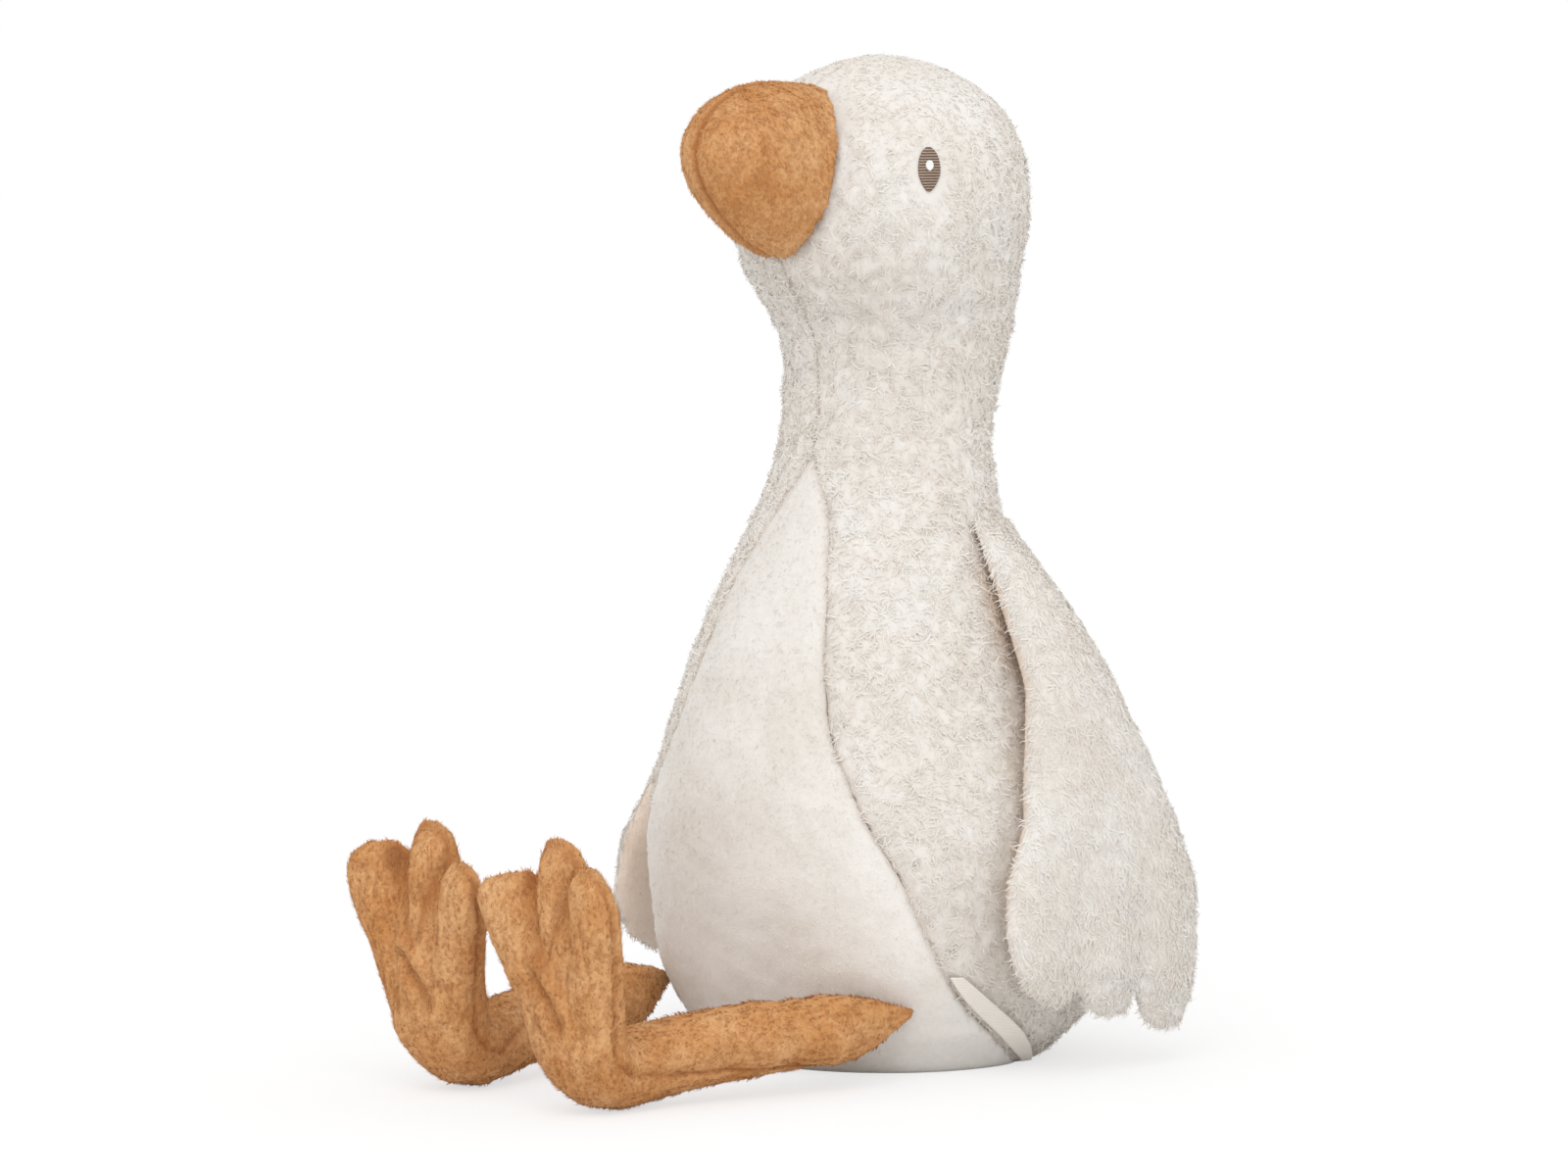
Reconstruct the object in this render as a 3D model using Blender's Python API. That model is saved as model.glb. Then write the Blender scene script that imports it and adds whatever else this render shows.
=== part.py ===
# Sitting plush goose, about 300 mm tall, sewn from pile cloth and stuffed.
# Frame: metres, +Z up, origin at the middle of the flat base, beak toward -Y,
# the goose's own left side toward +X.

import math

import bmesh
import bpy
from mathutils import Vector

MM = 0.001

# Cloth, seams and stuffing
SKIN = 3.0 * MM             # pile cloth of the body and the wings
VELOUR = 2.0 * MM           # shorter cloth of the beak, the legs and the feet
SEAM_GAP = 0.3 * MM         # between two cloths that meet at a seam
STUFFING_GAP = 0.8 * MM     # between a cloth and the stuffing inside it
BODY_STUFFING_GAP = 1.5 * MM
SEAM_DIP = 1.3 * MM         # how far a seam pulls the cloth in
SEAM_REACH = 7.0 * MM       # how far from a seam the cloth is pulled in
LIMB_SLACK = 0.8            # share of a limb's hollow, front to back, that its stuffing fills
LIMB_RIM = 0.8 * MM         # half thickness of a wing or a leg at its sewn edge, outside the seam

# Body, neck and head: each rise is measured from the level before it
BASE_RADIUS = 46.0 * MM     # flat round base that it sits on
FLANK_RISE = 14.0 * MM
FLANK_RADIUS = 60.0 * MM
BELLY_RISE = 46.0 * MM      # widest level of the body
BELLY_WIDTH = 142.0 * MM
BELLY_DEPTH = 140.0 * MM
SHOULDER_RISE = 61.0 * MM
SHOULDER_WIDTH = 106.0 * MM
SHOULDER_DEPTH = 103.0 * MM
SHOULDER_LEAN = -5.5 * MM
NECK_RISE = 64.0 * MM       # narrowest level of the neck
NECK_WIDTH = 66.0 * MM
NECK_DEPTH = 58.0 * MM
NECK_LEAN = 0.0 * MM
NAPE_RISE = 29.0 * MM
NAPE_WIDTH = 70.0 * MM
NAPE_DEPTH = 66.0 * MM
NAPE_LEAN = 3.5 * MM
JAW_RISE = 21.0 * MM
JAW_WIDTH = 84.0 * MM
JAW_DEPTH = 80.0 * MM
HEAD_RISE = 17.0 * MM       # widest level of the head
HEAD_WIDTH = 89.0 * MM
HEAD_DEPTH = 85.0 * MM
HEAD_LEAN = -2.0 * MM
BROW_RISE = 27.0 * MM
BROW_WIDTH = 71.0 * MM
BROW_DEPTH = 74.0 * MM
CROWN_RISE = 17.0 * MM

# Seam between the smooth belly cloth and the side cloths: height and half angle from the front
THROAT = 179.0 * MM
BELLY_SEAM = ((0, 100), (8, 78), (30, 61), (60, 49), (95, 34), (130, 28), (160, 20), (178, 0))

# Beak: its heights are measured from the widest level of the head
BEAK_LENGTH = 34.0 * MM     # from the face's front to the tip
BEAK_LIFT = 12.5 * MM       # middle of its root
BEAK_HALF_HEIGHT = 23.5 * MM
BEAK_HALF_WIDTH = 21.0 * MM
BEAK_TIP_LIFT = 4.5 * MM    # tip above the root's middle
# Share of the way out to the tip, and shares of the half height up and down and of the half width
BEAK_ROWS_OUT = (
    (0.5, 1.04, 0.74, 0.86),
    (0.84, 0.74, 0.36, 0.6),
)

# Embroidered eyes
EYE_LIFT = 11.0 * MM        # from the widest level of the head
EYE_ANGLE = 65.0            # degrees round from the beak
EYE_HALF_WIDTH = 3.3 * MM
EYE_HALF_HEIGHT = 6.3 * MM
EYE_RAISE = 0.8 * MM        # thickness of the satin stitches
GLINT_RADIUS = 1.3 * MM
GLINT_RISE = 1.2 * MM       # the white glint sits above the eye's middle

# Wings: each hangs from a root seam at the shoulder and stands away from the body's side.
# Rows of the front edge and the back edge, each as height, angle round from the beak and
# distance from the body, and share of the thickness.
WING_ROOT_HEIGHT = 161.0 * MM
WING_ROOT_FRONT = 88.0      # degrees round from the beak
WING_ROOT_BACK = 126.0
ROOT_CLEARANCE = 1.5 * MM   # from the root seam to the body
WING_HALF_THICKNESS = 6.5 * MM
WING_ROWS = (
    ((149, 91, 7.6), (150, 115, 5.5), 0.5),
    ((134, 92, 11.1), (134, 118, 10.2), 0.9),
    ((116, 90, 15.4), (116, 119, 16.4), 1.0),
    ((97, 84, 14.4), (97, 118, 18.8), 1.0),
    ((77, 78, 15.2), (75, 119, 19.7), 1.0),
    ((54, 70, 17.3), (50, 121, 24.2), 1.0),
    ((25, 74, 21.0), (7, 122, 38.0), 0.9),
)
LOBE_BLUNTNESS = 2.5        # 2 gives round lobes, more gives squarer ones
WING_SCALLOP = 11.0 * MM    # depth of the three scallops
WING_CLOSING = 0.72         # share of the way down from which the wing thins out
WING_CREASE = 0.3           # how far the lines between the scallops thin the wing

# Legs and feet
HIP_HEIGHT = 20.0 * MM
HIP_ANGLE = 54.0            # degrees round from the beak
HIP_PINCH = 12.0 * MM       # length over which the leg fills out from its pinched end
HEEL_X = 30.0 * MM
HIP_CLEARANCE = 1.3 * MM    # from the leg's pinched end to the body
HEEL_Y = -149.0 * MM
LEG_RADIUS = 10.4 * MM
LEG_ARCH = 4.0 * MM         # how far the middle of the leg lifts off the floor
HEEL_BEND = 13.5 * MM       # radius of the leg's middle line where the foot turns up
FOOT_HEIGHT = 78.0 * MM     # from the floor to the middle toe's tip
FOOT_LEAN = 14.0 * MM       # how far the toes lean forward
FOOT_INWARD = 2.5 * MM      # how far the toes lie inside the heel
ANKLE_HALF_WIDTH = 17.0 * MM
TOES_HALF_WIDTH = 29.0 * MM
FOOT_HALF_THICKNESS = 9.0 * MM
TOE_SCALLOP = 18.0 * MM     # depth of the webs between the toes
FOOT_CLOSING = 0.785        # share of the way along the leg from which the toes part
TOE_CREASE = 0.6            # how far a web thins the foot
INNER_CREASE = 1.3          # how much deeper the inside of a cloth follows a crease
MIDDLE_TOE_SETBACK = 8.0 * MM
INNER_TOE_SHORTER = 10.0 * MM
OUTER_TOE_SHORTER = 5.5 * MM

# Ribbon label in the left belly seam
LABEL_WIDTH = 6.0 * MM
LABEL_SETBACK = 0.5 * MM    # from the seam to the ribbon's front edge
LABEL_THICKNESS = 0.5 * MM
LABEL_TOP = 33.0 * MM
LABEL_BOTTOM = 7.0 * MM

# Facets
STEPS_A_STATION = 12        # fine samples between two levels of a smooth line
LEVELS_A_STATION = 3        # of these, the levels that become rows of facets
SIDE_COLUMNS = 12
BELLY_COLUMNS = 10
BASE_COLUMNS = 12
FULL_TURN_COLUMNS = 24
BEAK_ROWS = 7
BEAK_COLUMNS = 9
WING_SPLITS = (0.0, 0.12, 0.5, 0.88)    # columns across each lobe of a wing
TOE_SPLITS = (0.0, 0.1, 0.3, 0.7, 0.9)  # columns across each toe
LIMB_LAST_ROWS = 4          # rows of a limb toward its tip
ARC_STEPS = 4               # stations round the heel

# Colours as linear RGB, roughness
CURLY_WHITE = ((0.78, 0.74, 0.68), 0.95)
SMOOTH_WHITE = ((0.82, 0.79, 0.74), 0.9)
PEACH_LINING = ((0.78, 0.66, 0.56), 0.9)
OCHRE = ((0.57, 0.30, 0.12), 0.9)
THREAD_BROWN = ((0.13, 0.08, 0.06), 0.6)
THREAD_WHITE = ((0.85, 0.85, 0.85), 0.5)
RIBBON = ((0.68, 0.62, 0.54), 0.7)
WADDING = ((0.9, 0.9, 0.9), 1.0)


def smooth_line(points, before, after, steps, measured):
    # Smooth line through tuples of numbers, with a ghost point past each end. The first
    # numbers of each tuple, as many as measured, give the distance between two points.
    chain = [before, *points, after]
    line = []
    for index in range(len(points) - 1):
        window = chain[index:index + 4]
        gaps = [math.dist(a[:measured], b[:measured]) for a, b in zip(window, window[1:])]
        for step in range(steps):
            line.append(blend(window, gaps, step / steps))
    line.append(tuple(points[-1]))
    return line


def blend(window, gaps, t):
    before, gap, after = gaps
    values = []
    for a, b, c, d in zip(*window):
        slope_b = ((c - b) * before / gap + (b - a) * gap / before) / (before + gap) * gap
        slope_c = ((d - c) * gap / after + (c - b) * after / gap) / (gap + after) * gap
        values.append((2 * t ** 3 - 3 * t ** 2 + 1) * b + (t ** 3 - 2 * t ** 2 + t) * slope_b
                      + (3 * t ** 2 - 2 * t ** 3) * c + (t ** 3 - t ** 2) * slope_c)
    return tuple(values)


def beyond(first, second):
    # Ghost point that carries a line straight on past its first point.
    return tuple(2 * a - b for a, b in zip(first, second))


def read_line(line, key):
    # Value of a sampled line at a key, where the first number of each sample is the key.
    for low, high in zip(line, line[1:]):
        if key <= high[0]:
            share = max(0.0, (key - low[0]) / (high[0] - low[0]))
            return tuple(a + (b - a) * share for a, b in zip(low, high))
    return line[-1]


def body_profile():
    # Rows of height, half width, half depth and how far the middle leans along Y.
    rises = (0, FLANK_RISE, BELLY_RISE, SHOULDER_RISE, NECK_RISE, NAPE_RISE, JAW_RISE,
             HEAD_RISE, BROW_RISE, CROWN_RISE)
    widths = (2 * BASE_RADIUS, 2 * FLANK_RADIUS, BELLY_WIDTH, SHOULDER_WIDTH, NECK_WIDTH,
              NAPE_WIDTH, JAW_WIDTH, HEAD_WIDTH, BROW_WIDTH, 0)
    depths = (2 * BASE_RADIUS, 2 * FLANK_RADIUS, BELLY_DEPTH, SHOULDER_DEPTH, NECK_DEPTH,
              NAPE_DEPTH, JAW_DEPTH, HEAD_DEPTH, BROW_DEPTH, 0)
    leans = (0, 0, 0, SHOULDER_LEAN, NECK_LEAN, NAPE_LEAN, HEAD_LEAN, HEAD_LEAN, HEAD_LEAN, HEAD_LEAN)
    height = 0
    stations = []
    for rise, width, depth, lean in zip(rises, widths, depths, leans):
        height += rise
        stations.append((height, width / 2, depth / 2, lean))
    brow = stations[-2]
    over_crown = (brow[0], -brow[1], -brow[2], brow[3])
    return smooth_line(stations, beyond(stations[0], stations[1]), over_crown, STEPS_A_STATION, 2)


PROFILE = body_profile()
CROWN = PROFILE[-1][0]
HEAD_LEVEL = CROWN - CROWN_RISE - BROW_RISE


def seam_line():
    # Samples of height and half angle of the belly cloth, in radians.
    stations = [(level * MM, math.radians(angle)) for level, angle in BELLY_SEAM]
    stations[-1] = (THROAT, 0.0)
    return smooth_line(stations, beyond(stations[0], stations[1]),
                       beyond(stations[-1], stations[-2]), STEPS_A_STATION, 1)


SEAM_LINE = seam_line()


def seam_angle(height):
    # Half angle of the belly cloth at a height.
    return max(0.0, read_line(SEAM_LINE, height)[1]) if height < THROAT else 0.0


def body_point(height, angle, inset=0.0):
    # Point of the body at an angle from the front, toward +X; an inset moves it into the body.
    _, half_width, half_depth, lean = read_line(PROFILE, height)
    lifted = inset + height * (1 - 2 * inset / CROWN)
    return Vector((max(half_width - inset, 0) * math.sin(angle),
                   lean - max(half_depth - inset, 0) * math.cos(angle), lifted))


def face_y(x, height):
    # Y of the head's front at a sideways place and a height.
    _, half_width, half_depth, lean = read_line(PROFILE, height)
    share = min(abs(x) / half_width, 1.0)
    return lean - half_depth * math.sqrt(1 - share ** 2)


def body_levels():
    # Heights of the rows of facets, with one of them at the throat.
    levels = [row[0] for row in PROFILE[::STEPS_A_STATION // LEVELS_A_STATION]]
    kept = [level for level in levels if abs(level - THROAT) > 4 * MM]
    return sorted(kept + [THROAT])


def eased(count):
    # Shares from 0 to 1 that lie closer together at both ends.
    return [0.5 * k / count + 0.25 * (1 - math.cos(math.pi * k / count)) for k in range(count + 1)]


def seam_dip(distance):
    return SEAM_DIP * math.exp(-(distance / SEAM_REACH) ** 2)


def make_material(name, finish):
    colour, roughness = finish
    material = bpy.data.materials.new(name)
    material.use_nodes = True
    shader = material.node_tree.nodes["Principled BSDF"]
    shader.inputs["Base Color"].default_value = (*colour, 1.0)
    shader.inputs["Roughness"].default_value = roughness
    shader.inputs["Metallic"].default_value = 0.0
    return material


def finish_object(name, mesh_data, finish):
    mesh_data.normal_update()
    bmesh.ops.recalc_face_normals(mesh_data, faces=mesh_data.faces[:])
    if mesh_data.calc_volume(signed=True) < 0:
        bmesh.ops.reverse_faces(mesh_data, faces=mesh_data.faces[:])
    mesh = bpy.data.meshes.new(name)
    mesh_data.to_mesh(mesh)
    mesh_data.free()
    mesh.shade_smooth()
    mesh.set_sharp_from_angle(angle=math.radians(50))
    mesh.materials.append(make_material(name + "_cloth", finish))
    piece = bpy.data.objects.new(name, mesh)
    bpy.context.scene.collection.objects.link(piece)
    return piece


class Shell:
    # Collects faces whose corners are pairs of an outer and an inner point.

    def __init__(self):
        self.places = {}
        self.pairs = []
        self.faces = []

    def corner(self, pair):
        key = tuple(round(value, 7) for value in pair[0])
        if key not in self.places:
            self.places[key] = len(self.pairs)
            self.pairs.append(pair)
        return self.places[key]

    def add_face(self, pairs):
        corners = []
        for pair in pairs:
            corner = self.corner(pair)
            if corner not in corners:
                corners.append(corner)
        if len(corners) > 2:
            self.faces.append(corners)

    def add_grid(self, rows, last_rows=None):
        # Each facet is split so that a diagonal runs out into every corner of the grid;
        # the last rows are those where the diagonals run to the far corners.
        turn = len(rows) - 1 - (last_rows or (len(rows) - 1) // 2)
        for step, (low, high) in enumerate(zip(rows, rows[1:])):
            for k in range(len(low) - 1):
                near = (step < turn) == (2 * k < len(low) - 1)
                a, b, c, d = low[k], low[k + 1], high[k + 1], high[k]
                for triangle in (((a, b, c), (a, c, d)) if near else ((a, b, d), (b, c, d))):
                    self.add_face(triangle)

    def edges(self):
        # Directed edges that only one face has: the cloth's cut edge.
        found = {}
        for face in self.faces:
            for a, b in zip(face, face[1:] + face[:1]):
                found[(a, b)] = (b, a) in found
                if (b, a) in found:
                    found[(b, a)] = True
        return [edge for edge, shared in found.items() if not shared]

    def make_cloth(self, name, finish):
        # The outer faces, the same faces turned inward, and a strip along the cut edge.
        mesh_data = bmesh.new()
        outer = [mesh_data.verts.new(pair[0]) for pair in self.pairs]
        inner = [mesh_data.verts.new(pair[1]) for pair in self.pairs]
        for face in self.faces:
            mesh_data.faces.new([outer[k] for k in face])
            mesh_data.faces.new([inner[k] for k in reversed(face)])
        for a, b in self.edges():
            mesh_data.faces.new((outer[b], outer[a], inner[a], inner[b]))
        return finish_object(name, mesh_data, finish)

    def make_solid(self, name, finish):
        # The outer faces alone, where they already close.
        mesh_data = bmesh.new()
        outer = [mesh_data.verts.new(pair[0]) for pair in self.pairs]
        for face in self.faces:
            mesh_data.faces.new([outer[k] for k in face])
        return finish_object(name, mesh_data, finish)


def mirrored(point, side):
    return Vector((point.x * side, point.y, point.z))


def side_pair(height, angle, dip, side):
    # Outer and inner point of a side cloth, held off the middle plane by half a seam.
    outer = body_point(height, angle, dip)
    inner = body_point(height, angle, SKIN)
    outer.x += SEAM_GAP / 2
    inner.x += SEAM_GAP / 2
    return mirrored(outer, side), mirrored(inner, side)


def make_side_panel(name, side):
    # Curly cloth from the belly seam round to the back seam, up over the neck and the head.
    shell = Shell()
    rows = []
    for height in body_levels()[:-1]:
        radius = read_line(PROFILE, height)[1]
        start = seam_angle(height)
        sweep = math.pi - start
        row = []
        for share in eased(SIDE_COLUMNS):
            reach = radius * sweep * min(share, 1 - share)
            row.append(side_pair(height, start + sweep * share, seam_dip(reach), side))
        rows.append(row)
    crown = side_pair(CROWN, 0, 0, side)
    rows.append([crown] * (SIDE_COLUMNS + 1))
    shell.add_grid(rows)
    return shell.make_cloth(name, CURLY_WHITE)


def belly_pair(height, angle, dip):
    return body_point(height, angle, dip), body_point(height, angle, SKIN)


def base_pair(angle):
    # Edge of the base cloth behind the belly, one seam in from the side cloths.
    outer = body_point(0, angle)
    inner = body_point(0, angle, SKIN)
    toward_axis = Vector((-math.sin(angle), math.cos(angle), 0)) * SEAM_GAP
    return outer + toward_axis, inner + toward_axis


def make_belly_panel(name):
    # Smooth cloth: a tongue from the throat down the front that runs on under the body as its base.
    shell = Shell()
    rows = []
    for height in body_levels():
        if height > THROAT - 1 * MM:
            break
        radius = read_line(PROFILE, height)[1]
        edge = seam_angle(height) - SEAM_GAP / radius
        row = []
        for share in eased(BELLY_COLUMNS):
            reach = 2 * radius * edge * min(share, 1 - share)
            row.append(belly_pair(height, edge * (2 * share - 1), seam_dip(reach)))
        rows.append(row)
    rows[0] = [belly_pair(0, angle, 0) for angle in row_angles(rows[0])]
    tip = belly_pair(THROAT - 2 * SEAM_GAP, 0, SEAM_DIP)
    rows.append([tip] * (BELLY_COLUMNS + 1))
    shell.add_grid(rows)
    start = seam_angle(0)
    back = []
    for k in range(BASE_COLUMNS + 1):
        back.append(base_pair(start + 2 * (math.pi - start) * k / BASE_COLUMNS))
    shell.add_face(list(reversed(rows[0] + back)))
    return shell.make_cloth(name, SMOOTH_WHITE)


def row_angles(row):
    return [math.atan2(pair[0].x, -pair[0].y) for pair in row]


def make_body_filling(name):
    inset = SKIN + BODY_STUFFING_GAP
    shell = Shell()
    rows = []
    for height in body_levels()[:-1]:
        row = []
        for k in range(FULL_TURN_COLUMNS):
            point = body_point(height, 2 * math.pi * k / FULL_TURN_COLUMNS, inset)
            row.append((point, point))
        rows.append(row + row[:1])
    crown = body_point(CROWN, 0, inset)
    rows.append([(crown, crown)] * (FULL_TURN_COLUMNS + 1))
    shell.add_grid(rows)
    shell.add_face(list(reversed(rows[0][:-1])))
    return shell.make_solid(name, WADDING)


def beak_outline():
    # Rows of the top line's Y and Z, the bottom line's Y and Z, and the half width.
    root = HEAD_LEVEL + BEAK_LIFT
    top = root + BEAK_HALF_HEIGHT
    bottom = root - BEAK_HALF_HEIGHT
    tip = root + BEAK_TIP_LIFT
    tip_y = face_y(0, tip) - BEAK_LENGTH
    stations = [(face_y(0, top), top, face_y(0, bottom), bottom, BEAK_HALF_WIDTH)]
    for out, rise, drop, wide in BEAK_ROWS_OUT:
        upper_y = face_y(0, top) + (tip_y - face_y(0, top)) * out
        lower_y = face_y(0, bottom) + (tip_y - face_y(0, bottom)) * out
        stations.append((upper_y, root + BEAK_HALF_HEIGHT * rise, lower_y, root - BEAK_HALF_HEIGHT * drop,
                         BEAK_HALF_WIDTH * wide))
    stations.append((tip_y, tip, tip_y, tip, 0))
    before = beyond(stations[0], stations[1])
    near_tip = stations[-2]
    after = (near_tip[2], near_tip[3], near_tip[0], near_tip[1], -near_tip[4])
    return smooth_line(stations, before, after, BEAK_ROWS, 4)


def beak_point(station, share, angle, inset, side):
    # Point of the beak on one of its outline rows; share is how far that row is from the face.
    top_y, top_z, bottom_y, bottom_z, half_width = station
    half_rise = Vector((0, top_y - bottom_y, top_z - bottom_z)) / 2
    middle = Vector((0, top_y + bottom_y, top_z + bottom_z)) / 2
    if half_rise.length > 0:
        half_rise *= max(half_rise.length - inset, 0) / half_rise.length
    x = max(half_width - inset, 0) * math.sin(angle)
    point = middle + half_rise * math.cos(angle)
    if share == 0:
        point.y = face_y(x, point.z) - 2 * SEAM_GAP
    return Vector((side * (x + SEAM_GAP / 2), point.y + inset * share, point.z))


def beak_rows(inset, columns, side):
    outline = beak_outline()[::3]
    rows = []
    for k, station in enumerate(outline):
        share = k / (len(outline) - 1)
        rows.append([beak_point(station, share, math.pi * c / columns, inset, side)
                     for c in range(columns + 1)])
    return rows


def make_beak_panel(name, side):
    shell = Shell()
    outer = beak_rows(0, BEAK_COLUMNS, side)
    inner = beak_rows(VELOUR, BEAK_COLUMNS, side)
    shell.add_grid([list(zip(*pair)) for pair in zip(outer, inner)])
    return shell.make_cloth(name, OCHRE)


def seat_ring(ring, share):
    # Ring of the stuffing's seat on the head, drawn in toward the seat's middle.
    middle_z = (ring[0][0].z + ring[len(ring) // 2][0].z) / 2
    seat = []
    for point, _ in ring:
        height = middle_z + (point.z - middle_z) * share
        place = Vector((point.x * share, face_y(point.x * share, height) - 2 * SEAM_GAP, height))
        seat.append((place, place))
    return seat


def make_beak_filling(name):
    inset = VELOUR + STUFFING_GAP
    left = beak_rows(inset, BEAK_COLUMNS, 1)
    right = beak_rows(inset, BEAK_COLUMNS, -1)
    shell = Shell()
    rings = []
    for left_row, right_row in zip(left, right):
        ring = left_row + right_row[::-1]
        for point in ring:
            point.x -= math.copysign(SEAM_GAP / 2, point.x)
        rings.append([(point, point) for point in ring] + [(ring[0], ring[0])])
    shell.add_grid(rings)
    shell.add_grid([rings[0]] + [seat_ring(rings[0], share) for share in (0.66, 0.33, 0)])
    return shell.make_solid(name, OCHRE)


def make_patch(name, finish, height, angle, half_width, half_height, low, thick, side):
    # Small oval pad on the head, from one offset above the cloth to another.
    shell = Shell()
    radius = read_line(PROFILE, height)[1]

    def place(share, turn):
        level = height + half_height * share * math.cos(turn)
        round_angle = angle + half_width * share * math.sin(turn) / radius
        return (mirrored(body_point(level, round_angle, -low - thick), side),
                mirrored(body_point(level, round_angle, -low), side))

    columns = 16
    rows = [[place(0, 0)] * (columns + 1)]
    for share in (0.55, 1.0):
        rows.append([place(share, 2 * math.pi * (k % columns) / columns) for k in range(columns + 1)])
    shell.add_grid(rows)
    return shell.make_cloth(name, finish)


def make_eye(label, side):
    angle = math.radians(EYE_ANGLE)
    height = HEAD_LEVEL + EYE_LIFT
    make_patch(label + "_eye", THREAD_BROWN, height, angle, EYE_HALF_WIDTH, EYE_HALF_HEIGHT,
               SEAM_GAP, EYE_RAISE, side)
    make_patch(label + "_eye_glint", THREAD_WHITE, height + GLINT_RISE, angle, GLINT_RADIUS,
               GLINT_RADIUS, 2 * SEAM_GAP + EYE_RAISE, EYE_RAISE / 2, side)


def lobe_columns(splits):
    # Sideways shares from -1 to 1, with the same splits across each of the three lobes.
    columns = []
    for lobe in range(3):
        for split in splits:
            columns.append(-1 + 2 * (lobe + split) / 3)
    return columns + [1.0]


def lobe_arc(across):
    # One round arc over each of three equal lobes: 0 in the valleys and 1 on the tips.
    local = (across + 1) * 1.5 % 1.0
    return max(0.0, 1 - abs(2 * local - 1) ** LOBE_BLUNTNESS) ** (1 / LOBE_BLUNTNESS)


def web(across):
    # 1 on the two lines between the lobes and 0 away from them.
    return max(0.0, 1 - abs(abs(across) - 1 / 3) / 0.2)


class Limb:
    # Flat or round stuffed limb: two cloths sewn along both sides and round a lobed tip.

    def __init__(self, stations, splits, scallop, closing, crease=0.0, setback=0.0, bow=None,
                 shorter=(0, 0)):
        # Each station is a middle, an across direction, a half width and a half thickness.
        self.stations = stations
        self.columns = lobe_columns(splits)
        self.scallop = scallop
        self.closing = closing
        self.crease = crease
        self.setback = setback
        self.bow = bow or Vector()
        self.shorter = shorter
        rows = [(*middle, *across, width, thick) for middle, across, width, thick in stations]
        self.line = smooth_line(rows, beyond(rows[0], rows[1]), beyond(rows[-1], rows[-2]),
                                STEPS_A_STATION, 3)
        self.length = sum(math.dist(a[:3], b[:3]) for a, b in zip(self.line, self.line[1:]))
        self.tip_pace = math.dist(rows[-1][:3], rows[-2][:3]) * (len(rows) - 1)

    def at(self, share):
        place = min(max(share, 0.0), 1.0) * (len(self.line) - 1)
        low = min(int(place), len(self.line) - 2)
        values = [a + (b - a) * (place - low) for a, b in zip(self.line[low], self.line[low + 1])]
        tangent = Vector(self.line[low + 1][:3]) - Vector(self.line[low][:3])
        across = Vector(values[3:6]).normalized()
        normal = across.cross(tangent).normalized()
        return Vector(values[:3]), across, normal, values[6], values[7]

    def point(self, share, across_share, face, inset):
        trim = inset / self.length
        toe = max(0.0, (share - self.closing) / (1 - self.closing))
        lacking = self.scallop * (1 - lobe_arc(across_share))
        lacking += self.shorter[across_share > 0] * min(1.0, max(0.0, abs(across_share) - 1 / 3) * 8)
        along = trim + share * (1 - 2 * trim) - lacking / self.tip_pace * toe
        middle, across, normal, half_width, half_thick = self.at(along)
        narrowed = min(inset, half_width / 3.1)
        sideways = half_width * across_share - narrowed * across_share ** 3
        thick = max(half_thick - inset, 0) * math.sqrt(max(0.0, 1 - across_share ** 2))
        thick *= math.sqrt(max(0.0, 1 - toe ** 4)) if toe > 0 else 1
        crease = self.crease * (INNER_CREASE if inset else 1)
        thick *= 1 - crease * web(across_share) * min(1.0, 2 * toe) ** 0.5
        shift = self.setback * toe * min(1.0, max(0.0, 1 - (abs(across_share) - 1 / 3) / 0.4333))
        bowed = self.bow * (1 - across_share ** 2) * (1 - share) ** 4
        rim = 0 if inset else LIMB_RIM
        return (middle + bowed + across * sideways
                + normal * (shift + face * (thick + rim + SEAM_GAP / 2)))

    def make_panel(self, name, finish, shares, face, skin, side):
        shell = Shell()
        rows = []
        for share in shares:
            rows.append([(mirrored(self.point(share, across, face, 0), side),
                          mirrored(self.point(share, across, face, skin), side))
                         for across in self.columns])
        shell.add_grid(rows, LIMB_LAST_ROWS)
        return shell.make_cloth(name, finish)

    def make_filling(self, name, finish, shares, skin, side):
        inset = skin + STUFFING_GAP
        shell = Shell()
        for face in (1, -1):
            rows = []
            for k, share in enumerate(shares):
                row = []
                for across in self.columns:
                    edge = k in (0, len(shares) - 1) or abs(across) == 1
                    point = mirrored(self.solid_point(share, across, face, inset, edge), side)
                    row.append((point, point))
                rows.append(row if face > 0 else row[::-1])
            shell.add_grid(rows, LIMB_LAST_ROWS)
        return shell.make_solid(name, finish)

    def solid_point(self, share, across, face, inset, edge):
        # The two faces of the stuffing meet on its edge, and lie slack between the cloths elsewhere.
        upper = self.point(share, across, 1, inset)
        lower = self.point(share, across, -1, inset)
        middle = (upper + lower) / 2
        slack = 0 if edge else LIMB_SLACK
        return middle + ((upper if face > 0 else lower) - middle) * slack


def beside_body(height, angle, distance):
    point = body_point(height * MM, math.radians(angle), -distance * MM)
    return Vector((point.x, point.y, height * MM))


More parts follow.
